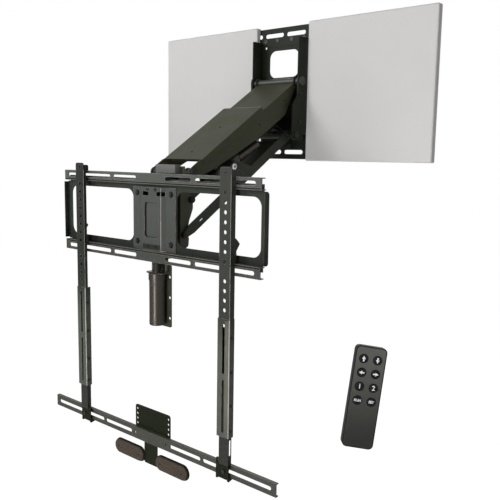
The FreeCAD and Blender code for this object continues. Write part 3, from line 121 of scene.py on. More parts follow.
def buildCoatGrain():
    # broad mottle and fine specks in colour, gloss and height
    group, start, end = newGroup("coatGrain", [
        ("Scale", "NodeSocketFloat", 900.0), ("Mottle", "NodeSocketFloat", 0.15),
        ("Speck", "NodeSocketFloat", 0.24), ("Base", "NodeSocketColor", plainColor),
        ("Rough", "NodeSocketFloat", 0.5)],
        [("Color", "NodeSocketColor"), ("Roughness", "NodeSocketFloat"), ("Height", "NodeSocketFloat")])
    place = group.nodes.new("ShaderNodeTexCoord").outputs["Object"]
    fine = addNode(group, "ShaderNodeTexNoise", Vector=place, Scale=start.outputs["Scale"], **noise["dust"])
    broad = addNode(group, "ShaderNodeTexNoise", Vector=place, **noise["mottle"])
    span = addMath(group, "SUBTRACT", broad.outputs["Fac"], 0.5)
    amount = addMath(group, "MULTIPLY", span, start.outputs["Mottle"])
    dust = addMath(group, "SUBTRACT", fine.outputs["Fac"], 0.5)
    speck = addMath(group, "MULTIPLY", dust, start.outputs["Speck"])
    gain = addMath(group, "ADD", addMath(group, "ADD", amount, speck), 1.0)
    tint = addNode(group, "ShaderNodeVectorMath", {"operation": "SCALE"})
    group.links.new(start.outputs["Base"], tint.inputs[0])
    group.links.new(gain, tint.inputs["Scale"])
    rough = addMath(group, "MULTIPLY_ADD", amount, pattern["roughGain"], start.outputs["Rough"])
    group.links.new(tint.outputs["Vector"], end.inputs["Color"])
    group.links.new(rough, end.inputs["Roughness"])
    group.links.new(fine.outputs["Fac"], end.inputs["Height"])
    return group


def buildEdgeWear():
    # a paler coat along outer edges, broken up by noise: edge wear on most finishes, and a painted highlight
    # along the folds of the rails, bars and centre plate
    group, start, end = newGroup("edgeWearAndHighlight", [
        ("Color", "NodeSocketColor", plainColor), ("Worn", "NodeSocketColor", paleEdgeColor),
        ("Amount", "NodeSocketFloat", 0.5), ("Width", "NodeSocketFloat", 0.0014)],
        [("Color", "NodeSocketColor")])
    rounded = addNode(group, "ShaderNodeBevel", {"samples": samples["bevel"]}, Radius=start.outputs["Width"])
    flat = group.nodes.new("ShaderNodeNewGeometry").outputs["Normal"]
    match = addNode(group, "ShaderNodeVectorMath", {"operation": "DOT_PRODUCT"},
                    i0=rounded.outputs[0], i1=flat)
    edge = addRange(group, match.outputs["Value"], *pattern["wearAndHighlightEdge"])
    place = group.nodes.new("ShaderNodeTexCoord").outputs["Object"]
    patchy = addNode(group, "ShaderNodeTexNoise", Vector=place, **noise["wearAndHighlight"])
    broken = addRange(group, patchy.outputs["Fac"], *pattern["brokenWearAndHighlight"])
    mask = addMath(group, "MULTIPLY", addMath(group, "MULTIPLY", edge, broken), start.outputs["Amount"])
    blend = addNode(group, "ShaderNodeMix", {"data_type": "RGBA"})
    group.links.new(mask, blend.inputs["Factor"])
    group.links.new(start.outputs["Color"], blend.inputs[6])
    group.links.new(start.outputs["Worn"], blend.inputs[7])
    group.links.new(blend.outputs[2], end.inputs["Color"])
    return group


def buildCreaseShade():
    # painted shade: a darker coat in inner corners, slots and folds, where the surface is closed in
    group, start, end = newGroup("creaseShade", [
        ("Color", "NodeSocketColor", plainColor), ("Reach", "NodeSocketFloat", 0.012),
        ("Depth", "NodeSocketFloat", 0.7)], [("Color", "NodeSocketColor")])
    room = addNode(group, "ShaderNodeAmbientOcclusion", {"samples": samples["corner"], "only_local": True},
                   Distance=start.outputs["Reach"])
    closed = addMath(group, "SUBTRACT", 1.0, addRange(group, room.outputs["AO"], *pattern["openCorner"]))
    gain = addMath(group, "SUBTRACT", 1.0, addMath(group, "MULTIPLY", closed, start.outputs["Depth"]))
    tint = addNode(group, "ShaderNodeVectorMath", {"operation": "SCALE"})
    group.links.new(start.outputs["Color"], tint.inputs[0])
    group.links.new(gain, tint.inputs["Scale"])
    group.links.new(tint.outputs["Vector"], end.inputs["Color"])
    return group


def buildScuffs():
    # fine handling marks: long thin streaks, broken up by a patchy noise
    group, start, end = newGroup("scuffs", [
        ("Rough", "NodeSocketFloat", 0.5), ("Amount", "NodeSocketFloat", 0.1)],
        [("Roughness", "NodeSocketFloat")])
    place = group.nodes.new("ShaderNodeTexCoord").outputs["Object"]
    lie = addNode(group, "ShaderNodeMapping", Vector=place, **pattern["lie"])
    streak = addNode(group, "ShaderNodeTexNoise", Vector=lie.outputs[0], **noise["streak"])
    line = addRange(group, streak.outputs["Fac"], *pattern["streak"])
    patch = addNode(group, "ShaderNodeTexNoise", Vector=place, **noise["patch"])
    here = addRange(group, patch.outputs["Fac"], *pattern["patch"])
    mark = addMath(group, "MULTIPLY", addMath(group, "MULTIPLY", line, here), start.outputs["Amount"])
    group.links.new(addMath(group, "ADD", start.outputs["Rough"], mark), end.inputs["Roughness"])
    return group


def buildHeightTone():
    # painted light and shade: lets a coat grow paler or darker from one height to another
    group, start, end = newGroup("heightLightAndShade", [
        ("Color", "NodeSocketColor", plainColor), ("Low", "NodeSocketFloat", 0.0),
        ("High", "NodeSocketFloat", 1.0), ("LowGain", "NodeSocketFloat", 1.0),
        ("HighGain", "NodeSocketFloat", 1.0)], [("Color", "NodeSocketColor")])
    place = group.nodes.new("ShaderNodeTexCoord").outputs["Object"]
    height = addNode(group, "ShaderNodeSeparateXYZ", Vector=place).outputs["Z"]
    gain = addNode(group, "ShaderNodeMapRange", {"clamp": True, "interpolation_type": "SMOOTHSTEP"},
                   Value=height)
    for socket, label in (("From Min", "Low"), ("From Max", "High"),
                          ("To Min", "LowGain"), ("To Max", "HighGain")):
        group.links.new(start.outputs[label], gain.inputs[socket])
    tint = addNode(group, "ShaderNodeVectorMath", {"operation": "SCALE"})
    group.links.new(start.outputs["Color"], tint.inputs[0])
    group.links.new(gain.outputs["Result"], tint.inputs["Scale"])
    group.links.new(tint.outputs["Vector"], end.inputs["Color"])
    return group


coatGrain = buildCoatGrain()
edgeWearAndHighlight = buildEdgeWear()
creaseShade = buildCreaseShade()
scuffs = buildScuffs()
heightLightAndShade = buildHeightTone()

# every finish starts from these values and names only what differs
# crease and reach set a painted shade in inner corners; the pale edge colour and amount give edge wear, and on
# the rails, bars and centre plate a painted highlight along their folds; tone is painted light and shade that
# changes with height
plainFinish = {"rough": 0.46, "grain": 1100, "mottle": 0.4, "speck": 0.24, "bump": 0.10, "wearAndHighlight": 0.5,
               "edge": 0.0014, "specular": 0.2, "metal": 0.0, "crease": 0.8, "reach": 0.012, "scuff": 0.12,
               "soft": 0.0008, "relief": 0.0004, "tone": None}
finishes = {
    "railCoat": {"color": (0.076, 0.080, 0.072), "worn": (0.46, 0.46, 0.44), "wearAndHighlight": 0.9, "edge": 0.0022},
    # painted shade: the frame plate is darker along its lower band
    "frameCoat": {"color": (0.032, 0.035, 0.029), "worn": (0.17, 0.175, 0.155), "wearAndHighlight": 0.6, "specular": 0.12,
                  "tone": (-0.46, -0.43, 0.6, 1.0)},
    "lowRailCoat": {"color": (0.050, 0.053, 0.046), "worn": (0.40, 0.40, 0.38), "wearAndHighlight": 0.9, "edge": 0.0022},
    "footShade": {"color": (0.024, 0.026, 0.020), "worn": (0.05, 0.05, 0.04), "specular": 0.1},
    "barFoldHighlight": {"color": (0.42, 0.40, 0.35), "worn": (0.45, 0.43, 0.38), "rough": 0.36, "mottle": 1.0,
                "specular": 0.4, "crease": 0.3},
    "slideCoat": {"color": (0.025, 0.026, 0.022), "worn": (0.16, 0.16, 0.14), "wearAndHighlight": 0.6},
    "plateCoat": {"color": (0.061, 0.064, 0.058), "worn": (0.34, 0.345, 0.33), "wearAndHighlight": 0.9, "edge": 0.0018,
                  "crease": 0.9, "reach": 0.016},
    "foldHighlight": {"color": (0.52, 0.50, 0.46), "worn": (0.6, 0.58, 0.54), "rough": 0.35, "mottle": 1.0,
                 "specular": 0.4, "crease": 0.3},
    "shadeAndWasherBlack": {"color": (0.006, 0.006, 0.006), "worn": (0.02, 0.02, 0.02), "specular": 0.1},
    # painted sheen: the right bar is paler on its lower sleeve
    "barCoat": {"color": (0.033, 0.035, 0.029), "worn": (0.30, 0.30, 0.27), "wearAndHighlight": 0.75, "edge": 0.0018,
                "tone": (-0.72, -0.60, 2.4, 1.0)},
    "barSheen": {"color": (0.115, 0.111, 0.095), "worn": (0.22, 0.21, 0.18), "mottle": 1.2, "crease": 0.4},
    "lidEdgeHighlight": {"color": (0.30, 0.29, 0.24), "worn": (0.40, 0.39, 0.34), "rough": 0.4, "mottle": 1.0,
                "crease": 0.2},
    # painted sheen: the left bar is paler on its lower sleeve
    "leftBarCoat": {"color": (0.018, 0.020, 0.016), "worn": (0.30, 0.30, 0.27), "wearAndHighlight": 0.75, "edge": 0.0018,
                    "tone": (-0.70, -0.60, 4.0, 1.0)},
    "bracketCoat": {"color": (0.013, 0.017, 0.010), "worn": (0.05, 0.055, 0.04), "specular": 0.12},
    "headCoat": {"color": (0.050, 0.054, 0.037), "worn": (0.09, 0.09, 0.07)},
    "linkCoat": {"color": (0.030, 0.034, 0.024), "worn": (0.10, 0.105, 0.085)},
    "soundCoat": {"color": (0.050, 0.052, 0.042), "worn": (0.20, 0.195, 0.16), "wearAndHighlight": 0.6},
    "soundDark": {"color": (0.010, 0.012, 0.005), "worn": (0.08, 0.08, 0.06), "specular": 0.08},
    "armPaint": {"color": (0.052, 0.056, 0.033), "worn": (0.15, 0.155, 0.11), "wearAndHighlight": 0.5, "specular": 0.12,
                 "mottle": 0.55},
    "coverShell": {"color": (0.648, 0.640, 0.632), "worn": (0.74, 0.73, 0.72), "wearAndHighlight": 0.2, "rough": 0.62,
                   "grain": 700, "mottle": 0.05, "speck": 0.06, "bump": 0.05, "crease": 0.35, "scuff": 0.05},
    "boltBlack": {"color": (0.012, 0.012, 0.011), "worn": (0.14, 0.14, 0.135), "wearAndHighlight": 0.6, "rough": 0.36,
                  "grain": 1500, "bump": 0.05, "specular": 0.3},
    "pinBlack": {"color": (0.018, 0.020, 0.014), "worn": (0.08, 0.08, 0.07), "rough": 0.42, "grain": 1600,
                 "bump": 0.03},
    "rodSteel": {"color": (0.07, 0.073, 0.066), "worn": (0.2, 0.2, 0.19), "rough": 0.38, "grain": 1600,
                 "bump": 0.03, "metal": 0.6, "wearAndHighlight": 0.4},
    "bushPlastic": {"color": (0.02, 0.02, 0.018), "worn": (0.05, 0.05, 0.05), "grain": 1500, "bump": 0.04,
                    "mottle": 0.2, "wearAndHighlight": 0.3},
    "paleCap": {"color": (0.88, 0.89, 0.88), "worn": (0.9, 0.9, 0.9), "rough": 0.35, "mottle": 0.08,
                "speck": 0.05, "bump": 0.03, "wearAndHighlight": 0.2, "crease": 0.6, "reach": 0.003, "specular": 0.4},
    "capGrey": {"color": (0.20, 0.205, 0.2), "worn": (0.3, 0.3, 0.3), "rough": 0.4, "crease": 0.5},
    "greyBlock": {"color": (0.175, 0.18, 0.172), "worn": (0.36, 0.36, 0.35), "wearAndHighlight": 0.6, "bump": 0.08},
    "bumperRubber": {"color": (0.010, 0.010, 0.009), "worn": (0.03, 0.03, 0.03), "rough": 0.7, "bump": 0.14},
    "motorBlack": {"color": (0.072, 0.064, 0.053), "worn": (0.18, 0.165, 0.14), "rough": 0.33, "grain": 1600,
                   "bump": 0.0, "specular": 0.5, "metal": 0.7, "mottle": 0.05, "speck": 0.04, "scuff": 0.0},
    "boxPlastic": {"color": (0.03, 0.03, 0.03), "worn": (0.06, 0.06, 0.06), "rough": 0.55, "grain": 900,
                   "mottle": 0.1, "wearAndHighlight": 0.3},
    "padSkin": {"color": (0.056, 0.042, 0.031), "worn": (0.12, 0.095, 0.075), "rough": 0.62, "grain": 420,
                "speck": 0.6, "mottle": 0.5, "bump": 0.35, "wearAndHighlight": 0.3, "reach": 0.004, "specular": 0.15},
    "padRim": {"color": (0.020, 0.016, 0.012), "worn": (0.06, 0.05, 0.04), "rough": 0.5, "bump": 0.1},
    "remoteShell": {"color": (0.008, 0.008, 0.008), "worn": (0.05, 0.05, 0.05), "rough": 0.45, "grain": 1400,
                    "mottle": 0.15, "bump": 0.03, "specular": 0.12, "wearAndHighlight": 0.7},
    # painted sheen: the remote's face grows paler towards its top
    "remoteFace": {"color": (0.060, 0.061, 0.054), "worn": (0.12, 0.12, 0.115), "rough": 0.5, "grain": 1500,
                   "mottle": 0.2, "speck": 0.4, "bump": 0.12, "tone": (-0.69, -0.52, 0.45, 1.9)},
    "remoteKey": {"color": (0.006, 0.006, 0.006), "worn": (0.12, 0.12, 0.12), "rough": 0.26, "grain": 1600,
                  "mottle": 0.1, "bump": 0.02, "wearAndHighlight": 0.8, "edge": 0.0009, "specular": 0.25},
    "legendInk": {"color": (0.95, 0.95, 0.96), "worn": (0.95, 0.95, 0.96), "mottle": 0.05, "speck": 0.04,
                  "bump": 0.0, "wearAndHighlight": 0.0, "crease": 0.0},
}


def makeFinish(name):
    spec = {**plainFinish, **finishes[name]}
    finish = bpy.data.materials.new(name)
    finish.use_nodes = True
    tree = finish.node_tree
    shader = tree.nodes["Principled BSDF"]
    grain = addNode(tree, "ShaderNodeGroup", {"node_tree": coatGrain}, Scale=spec["grain"],
                    Mottle=spec["mottle"], Speck=spec["speck"], Base=(*spec["color"], 1), Rough=spec["rough"])
    coat = grain.outputs["Color"]
    # painted light and shade that changes with height
    if spec["tone"]:
        low, high, lowGain, highGain = spec["tone"]
        coat = addNode(tree, "ShaderNodeGroup", {"node_tree": heightLightAndShade}, Color=coat, Low=low, High=high,
                       LowGain=lowGain, HighGain=highGain).outputs["Color"]
    # painted shade in inner corners, slots and folds
    crease = addNode(tree, "ShaderNodeGroup", {"node_tree": creaseShade}, Color=coat,
                     Reach=spec["reach"], Depth=spec["crease"])
    # pale edges: edge wear, and on the rails, bars and centre plate a painted highlight along their folds
    wearAndHighlight = addNode(tree, "ShaderNodeGroup", {"node_tree": edgeWearAndHighlight}, Color=crease.outputs["Color"],
                   Worn=(*spec["worn"], 1), Amount=spec["wearAndHighlight"], Width=spec["edge"])
    scuff = addNode(tree, "ShaderNodeGroup", {"node_tree": scuffs}, Rough=grain.outputs["Roughness"],
                    Amount=spec["scuff"])
    rounded = addNode(tree, "ShaderNodeBevel", {"samples": samples["bevel"]}, Radius=spec["soft"])
    bump = addNode(tree, "ShaderNodeBump", Height=grain.outputs["Height"], Strength=spec["bump"],
                   Distance=spec["relief"])
    tree.links.new(wearAndHighlight.outputs["Color"], shader.inputs["Base Color"])
    tree.links.new(scuff.outputs["Roughness"], shader.inputs["Roughness"])
    tree.links.new(rounded.outputs[0], bump.inputs["Normal"])
    tree.links.new(bump.outputs[0], shader.inputs["Normal"])
    shader.inputs["Specular IOR Level"].default_value = spec["specular"]
    shader.inputs["Metallic"].default_value = spec["metal"]
    return finish


made = {name: makeFinish(name) for name in finishes}
slotFinish = {
    "powder_black": "railCoat", "arm_paint": "armPaint", "cover_shell": "coverShell", "bolt_black": "boltBlack",
    "pin_steel": "pinBlack", "bush_plastic": "bushPlastic", "pale_cap": "paleCap", "grey_block": "greyBlock",
    "bumper_rubber": "bumperRubber", "motor_black": "motorBlack", "box_plastic": "boxPlastic",
    "pad_skin": "padSkin", "remote_shell": "remoteShell", "remote_key": "remoteKey",
}
# one powder coat in lighter and darker copies from piece to piece: partly real tone differences, partly painted
# light and shade, darker on pieces that sit in shade
nodeFinish = {
    "right_tv_bar": "barCoat", "left_tv_bar": "leftBarCoat",
    "frame_plate": "frameCoat", "centre_plate": "plateCoat", "bottom_tv_rail": "lowRailCoat",
    "wall_top_rail": "bracketCoat", "wall_bottom_rail": "bracketCoat", "wall_bracket": "bracketCoat",
    "pivot_cheeks": "bracketCoat", "actuator_anchor": "bracketCoat",
    "head_frame": "headCoat", "motor_plate": "headCoat", "hinge_blocks": "headCoat",
    "lower_arm": "linkCoat", "right_latch": "linkCoat", "left_latch": "linkCoat",
    "extension_bars": "slideCoat", "soundbar_clamps": "soundDark", "soundbar_plate": "soundDark",
    "soundbar_rail": "soundCoat", "pad_bracket": "soundDark",
    "upper_pivot_shaft": "rodSteel", "actuator_rod": "rodSteel",
}
for part in frame["record"]["subparts"]:
    piece = nodes[part["node"]]
    piece.data.materials.clear()
    piece.data.materials.append(made[nodeFinish.get(part["node"], slotFinish[part["material_slot"]])])
print("finishes placed on", len(nodes), "nodes")

# mesh settings shared by the helpers below, with angles in degrees
meshing = {"rodSides": 48, "rimSegments": 3, "rimAngle": 60, "smoothAngle": 40, "cornerSegments": 8,
           "same": 1e-6, "seam": 1e-5}


def clearChoice():
    bpy.ops.object.select_all(action="DESELECT")


def choose(piece):
    clearChoice()
    piece.select_set(True)
    bpy.context.view_layer.objects.active = piece


def settle(piece, name, finish, body):
    choose(piece)
    bpy.ops.object.transform_apply(location=True, rotation=True, scale=True)
    piece.name = name
    piece.data.name = name
    piece.data.materials.clear()
    piece.data.materials.append(made[finish])
    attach(piece, body)
    return piece


def applyModifier(piece, kind, **settings):
    modifier = piece.modifiers.new(kind.lower(), kind)
    for key, value in settings.items():
        setattr(modifier, key, value)
    choose(piece)
    bpy.ops.object.modifier_apply(modifier=modifier.name)


def addRod(radius, length, place, axis="Z", sides=meshing["rodSides"], soften=0.0):
    # a round bar, turned to lie along an axis, with its rims softened
    turns = {"X": (0, math.pi / 2, 0), "Y": (math.pi / 2, 0, 0), "Z": (0, 0, 0)}
    clearChoice()
    bpy.ops.mesh.primitive_cylinder_add(vertices=sides, radius=radius, depth=length, location=place,
                                        rotation=turns[axis])
    piece = bpy.context.object
    bpy.ops.object.transform_apply(location=True, rotation=True, scale=True)
    if soften:
        applyModifier(piece, "BEVEL", width=soften, segments=meshing["rimSegments"], limit_method="ANGLE",
                      angle_limit=math.radians(meshing["rimAngle"]))
    choose(piece)
    bpy.ops.object.shade_smooth_by_angle(angle=math.radians(meshing["smoothAngle"]))
    return piece


def addSlab(size, place, soften=0.0):
    clearChoice()
    bpy.ops.mesh.primitive_cube_add(size=1, location=place)
    piece = bpy.context.object
    piece.scale = size
    bpy.ops.object.transform_apply(location=True, rotation=True, scale=True)
    if soften:
        applyModifier(piece, "BEVEL", width=soften, segments=meshing["rimSegments"])
    return piece


def addRoundedSheet(wide, thick, tall, corner):
    # an upright sheet at the origin whose four corners are rounded
    piece = addSlab((wide, thick, tall), (0, 0, 0))
    bpy.ops.object.mode_set(mode="EDIT")
    bpy.ops.mesh.select_mode(type="EDGE")
    bpy.ops.mesh.select_all(action="DESELECT")
    bpy.ops.object.mode_set(mode="OBJECT")
    for edge in piece.data.edges:
        a, b = (piece.data.vertices[k].co for k in edge.vertices)
        edge.select = abs(a.x - b.x) < meshing["same"] and abs(a.z - b.z) < meshing["same"]
    bpy.ops.object.mode_set(mode="EDIT")
    bpy.ops.mesh.bevel(offset=corner, segments=meshing["cornerSegments"])
    bpy.ops.object.mode_set(mode="OBJECT")
    return piece


def joinPieces(pieces):
    clearChoice()
    for piece in pieces:
        piece.select_set(True)
    bpy.context.view_layer.objects.active = pieces[0]
    bpy.ops.object.join()
    return bpy.context.object


# sound bar pads: crowned rubber pads with a piped rim
soundPad = {"centre": 0.092, "halfRun": 0.044, "rim": 0.0011, "rimLift": 0.0002, "flat": 0.55, "crown": 5}


def stretchEnds(piece, half):
    # pulls a round form apart in the middle into a capsule
    for corner in piece.data.vertices:
        if corner.co.x > meshing["seam"]:
            corner.co.x += half
        elif corner.co.x < -meshing["seam"]:
            corner.co.x -= half


def buildPad(side, name):
    low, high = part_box("soundbar_pads")
    radius = (high.z - low.z) / 2
    depth = high.y - low.y
    clearChoice()
    bpy.ops.mesh.primitive_uv_sphere_add(segments=48, ring_count=24, radius=radius,
                                         location=(0, 0, 0), rotation=(math.pi / 2, 0, 0))
    piece = bpy.context.object
    bpy.ops.object.transform_apply(rotation=True)
    for corner in piece.data.vertices:
        x, y, z = corner.co
        outwards = math.sqrt(x * x + z * z) / radius
        rise = 1 - outwards ** soundPad["crown"]
        corner.co.y = -depth * (soundPad["flat"] + (1 - soundPad["flat"]) * rise) if y < 0 else 0
    stretchEnds(piece, soundPad["halfRun"])
    piece.location = (side * soundPad["centre"], high.y, (low.z + high.z) / 2)
    bpy.ops.object.shade_smooth()
    return settle(piece, name, "padSkin", "carriage")


def buildPadRim(side, name):
    low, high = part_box("soundbar_pads")
    radius = (high.z - low.z) / 2
    clearChoice()
    bpy.ops.mesh.primitive_torus_add(major_segments=64, minor_segments=10,
                                     major_radius=radius - soundPad["rim"], minor_radius=soundPad["rim"],
                                     rotation=(math.pi / 2, 0, 0))
    piece = bpy.context.object
    bpy.ops.object.transform_apply(rotation=True)
    stretchEnds(piece, soundPad["halfRun"])
    depth = (high.y - low.y) * soundPad["flat"]
    piece.location = (side * soundPad["centre"], high.y - depth - soundPad["rimLift"], (low.z + high.z) / 2)
    bpy.ops.object.shade_smooth()
    return settle(piece, name, "padRim", "carriage")


padPieces = [buildPad(1, "rightSoundPad"), buildPad(-1, "leftSoundPad")]
for pad in padPieces:
    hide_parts("soundbar_pads")
buildPadRim(1, "rightPadRim")
buildPadRim(-1, "leftPadRim")
print("pads built")

# hand control: key legends, face film and battery door
remote = {"place": (0.871, -0.916, -0.608), "turn": 40, "lean": -8, "tilt": 8, "width": 0.052, "height": 0.168,
          "depth": 0.018, "keyRise": 0.0016, "ink": 0.0001, "film": 0.00025, "filmInset": 0.0020,
          "filmStock": 0.0008, "filmCorner": 0.006, "keyX": 0.0115, "keyRows": (0.063, 0.040, 0.017, -0.006),
          "well": 0.0078, "wellDepth": 0.004}
remoteTurn = (Matrix.Rotation(math.radians(remote["turn"]), 4, "Z")
              @ Matrix.Rotation(math.radians(remote["lean"]), 4, "X")
              @ Matrix.Rotation(math.radians(remote["tilt"]), 4, "Y"))
remotePose = Matrix.Translation(remote["place"]) @ remoteTurn
standUp = Matrix.Rotation(math.pi / 2, 4, "X")
legends = {"button_up": 90, "button_down": -90, "button_left": 180, "button_right": 0,
           "button_one": "1", "button_two": "2", "button_run": "RUN", "button_set": "SET"}
keyPlaces = [(x, z) for z in remote["keyRows"] for x in (-remote["keyX"], remote["keyX"])]
arrow = {"head": 0.0036, "headPlace": 0.0012, "stem": 0.0044, "thick": 0.0024, "ink": 0.0002}
lettering = {"digit": 0.0108, "word": 0.0056, "bold": 0.00022}
batteryDoor = {"size": (0.036, 0.0006, 0.058), "place": (0, 0.0001, -0.042), "soft": 0.00025,
               "ridge": (0.020, 0.0008, 0.0012), "ridgeLift": 0.0006, "ridgeTop": -0.0195, "ridgePitch": 0.003,
               "ridges": 4, "ridgeSoft": 0.0003}


def buildArrow(degrees):
    clearChoice()
    bpy.ops.mesh.primitive_cylinder_add(vertices=3, radius=arrow["head"], depth=arrow["ink"],
                                        rotation=(0, 0, -math.pi / 2))
    point = bpy.context.object
    bpy.ops.object.transform_apply(rotation=True)
    point.location.x = arrow["headPlace"]
    stem = addSlab((arrow["stem"], arrow["thick"], arrow["ink"]), (-arrow["stem"] / 2, 0, 0))
    piece = joinPieces([point, stem])
    bpy.ops.object.transform_apply(location=True)
    return piece, Matrix.Rotation(math.radians(degrees), 4, "Z")


def buildWord(word):
    clearChoice()
    bpy.ops.object.text_add(location=(0, 0, 0))
    piece = bpy.context.object
    piece.data.body = word
    piece.data.size = lettering["digit"] if len(word) == 1 else lettering["word"]
    piece.data.align_x = "CENTER"
    piece.data.align_y = "CENTER"
    piece.data.extrude = arrow["ink"] / 2
    piece.data.offset = lettering["bold"]
    choose(piece)
    bpy.ops.object.convert(target="MESH")
    return bpy.context.object, Matrix.Identity(4)


def buildLegend(node, mark, x, z):
    front = -remote["depth"] - remote["keyRise"] - remote["ink"] / 2
    piece, aim = buildWord(mark) if isinstance(mark, str) else buildArrow(mark)
    piece.matrix_world = remotePose @ Matrix.Translation((x, front, z)) @ standUp @ aim
    return settle(piece, "legend_" + node.split("_")[1], "legendInk", node)


def buildFaceFilm():
    wide = remote["width"] - 2 * remote["filmInset"]
    tall = remote["height"] - 2 * remote["filmInset"]
    film = addRoundedSheet(wide, remote["filmStock"], tall, remote["filmCorner"])
    wells = [addRod(remote["well"], remote["wellDepth"], (x, 0, z), "Y") for x, z in keyPlaces]
    cutter = joinPieces(wells)
    applyModifier(film, "BOOLEAN", object=cutter, operation="DIFFERENCE", solver="EXACT")
    bpy.data.objects.remove(cutter)
    front = -remote["depth"] + remote["filmStock"] / 2 - remote["film"]
    film.matrix_world = remotePose @ Matrix.Translation((0, front, 0))
    return settle(film, "remoteFaceFilm", "remoteFace", "wall")


def buildBatteryDoor():
    door = addSlab(batteryDoor["size"], batteryDoor["place"], batteryDoor["soft"])
    rows = [batteryDoor["ridgeTop"] - batteryDoor["ridgePitch"] * k for k in range(batteryDoor["ridges"])]
    ridges = [addSlab(batteryDoor["ridge"], (0, batteryDoor["ridgeLift"], z), batteryDoor["ridgeSoft"])
              for z in rows]
    piece = joinPieces([door] + ridges)
    piece.matrix_world = remotePose
    return settle(piece, "remoteBatteryDoor", "remoteShell", "wall")


for (node, mark), (x, z) in zip(legends.items(), keyPlaces):
    buildLegend(node, mark, x, z)
buildFaceFilm()
buildBatteryDoor()
print("hand control dressed")

# painted shade: dark inner sheets seen through the hat's notches and the bars' upper slots
notchSheet = {"behind": 0.0112, "thick": 0.0008, "low": -0.0265,
              "parts": ((-0.048, -0.0268, 0.0), (0.0268, 0.048, 0.0), (-0.048, 0.048, -0.0142))}
hatStrip = {"half": 0.048, "low": 0.0002, "high": 0.0060}
slotSheet = {"half": 0.0182, "front": 0.0008, "thick": 0.0010, "low": -0.810, "high": -0.655, "barX": 0.300,
             "soft": 0.0002}


def buildNotchSheet():
    low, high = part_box("centre_plate")
    y = low.y + notchSheet["behind"]
    parts = []
    for left, right, top in notchSheet["parts"]:
        tall = top - notchSheet["low"]
        parts.append(addSlab((right - left, notchSheet["thick"], tall),
                             ((left + right) / 2, y, high.z + notchSheet["low"] + tall / 2)))
    settle(joinPieces(parts), "notchSheet", "shadeAndWasherBlack", "screen_frame")
    strip = addSlab((2 * hatStrip["half"], notchSheet["thick"], hatStrip["high"] - hatStrip["low"]),
                    (0, y, high.z + (hatStrip["low"] + hatStrip["high"]) / 2))
    return settle(strip, "hatTopStrip", "frameCoat", "screen_frame")


def buildSlotSheets():
    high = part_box("extension_bars")[1]
    y = high.y + slotSheet["front"] + slotSheet["thick"] / 2
    middle = (slotSheet["low"] + slotSheet["high"]) / 2
    size = (2 * slotSheet["half"], slotSheet["thick"], slotSheet["high"] - slotSheet["low"])
    parts = [addSlab(size, (side * slotSheet["barX"], y, middle), slotSheet["soft"]) for side in (-1, 1)]
    return settle(joinPieces(parts), "slotSheets", "soundDark", "screen_frame")


# the hat's right fold with a painted highlight, painted shade on its foot and along its panel, and washers
# under its bolts
hatFold = {"x": 0.0388, "radius": 0.0005, "highlightRadius": 0.0009, "highlightShare": 0.48, "inset": 0.0003,
           "margin": 0.001, "slopeRun": 0.012, "slopeDepth": 0.0095, "slopeRise": 0.0012, "fineSides": 16,
           "sides": 20, "soft": 0.0003}
hatFoot = {"half": 0.0375, "low": 0.004, "high": 0.018, "thick": 0.0004}
hatPanel = {"wide": 0.058, "tall": 0.100, "top": 0.042, "corner": 0.009, "deep": 0.002, "thick": 0.0004,
            "band": 0.0065, "cut": 0.0016, "slack": 0.002}
washer = {"x": 0.070, "z": (-0.018, -0.158), "flange": 0.0095, "radius": 0.0085, "thick": 0.0008,
          "sides": 40, "soft": 0.0003}


def buildHatFold():
    low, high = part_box("centre_plate")
    x, y = hatFold["x"], low.y + hatFold["inset"]
    sides, soft, bold = hatFold["sides"], hatFold["soft"], hatFold["highlightRadius"]
    tall = high.z - low.z - 2 * hatFold["margin"]
    worn = tall * hatFold["highlightShare"]
    # painted highlight along the right fold, bolder on its lower part and along its sloped foot
    fine = addRod(hatFold["radius"], tall, (x, y, (low.z + high.z) / 2), "Z", hatFold["fineSides"])
    lower = addRod(bold, worn, (x, y, low.z + hatFold["margin"] + worn / 2), "Z", sides, soft)
    slope = addRod(bold, math.hypot(hatFold["slopeRun"], hatFold["slopeDepth"]), (0, 0, 0), "X", sides, soft)
    slope.rotation_euler.z = math.atan2(hatFold["slopeDepth"], hatFold["slopeRun"])
    slope.location = (x + hatFold["slopeRun"] / 2, y + hatFold["slopeDepth"] / 2, low.z + hatFold["slopeRise"])
    return settle(joinPieces([fine, lower, slope]), "hatFold", "foldHighlight", "screen_frame")


def buildHatShades():
    low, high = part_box("centre_plate")
    # painted shadow: a dark band across the foot of the hat's face
    foot = addSlab((2 * hatFoot["half"], hatFoot["thick"], hatFoot["high"] - hatFoot["low"]),
                   (0, low.y, low.z + (hatFoot["low"] + hatFoot["high"]) / 2))
    settle(foot, "hatFootShade", "footShade", "screen_frame")
    wide, tall, corner = hatPanel["wide"], hatPanel["tall"], hatPanel["corner"]
    # painted shade: a dark band inside the panel along its left wall, thinning round the corners
    band = addRoundedSheet(wide, hatPanel["thick"], tall, corner)
    cutter = addRoundedSheet(wide, hatPanel["cut"], tall - hatPanel["slack"], corner)
    cutter.location.x = hatPanel["band"]
    applyModifier(band, "BOOLEAN", object=cutter, operation="DIFFERENCE", solver="EXACT")
    bpy.data.objects.remove(cutter)
    band.location = (0, low.y + hatPanel["deep"] - hatPanel["thick"] / 2,
                     high.z - hatPanel["top"] - hatPanel["tall"] / 2)
    return settle(band, "hatPanelShade", "shadeAndWasherBlack", "screen_frame")


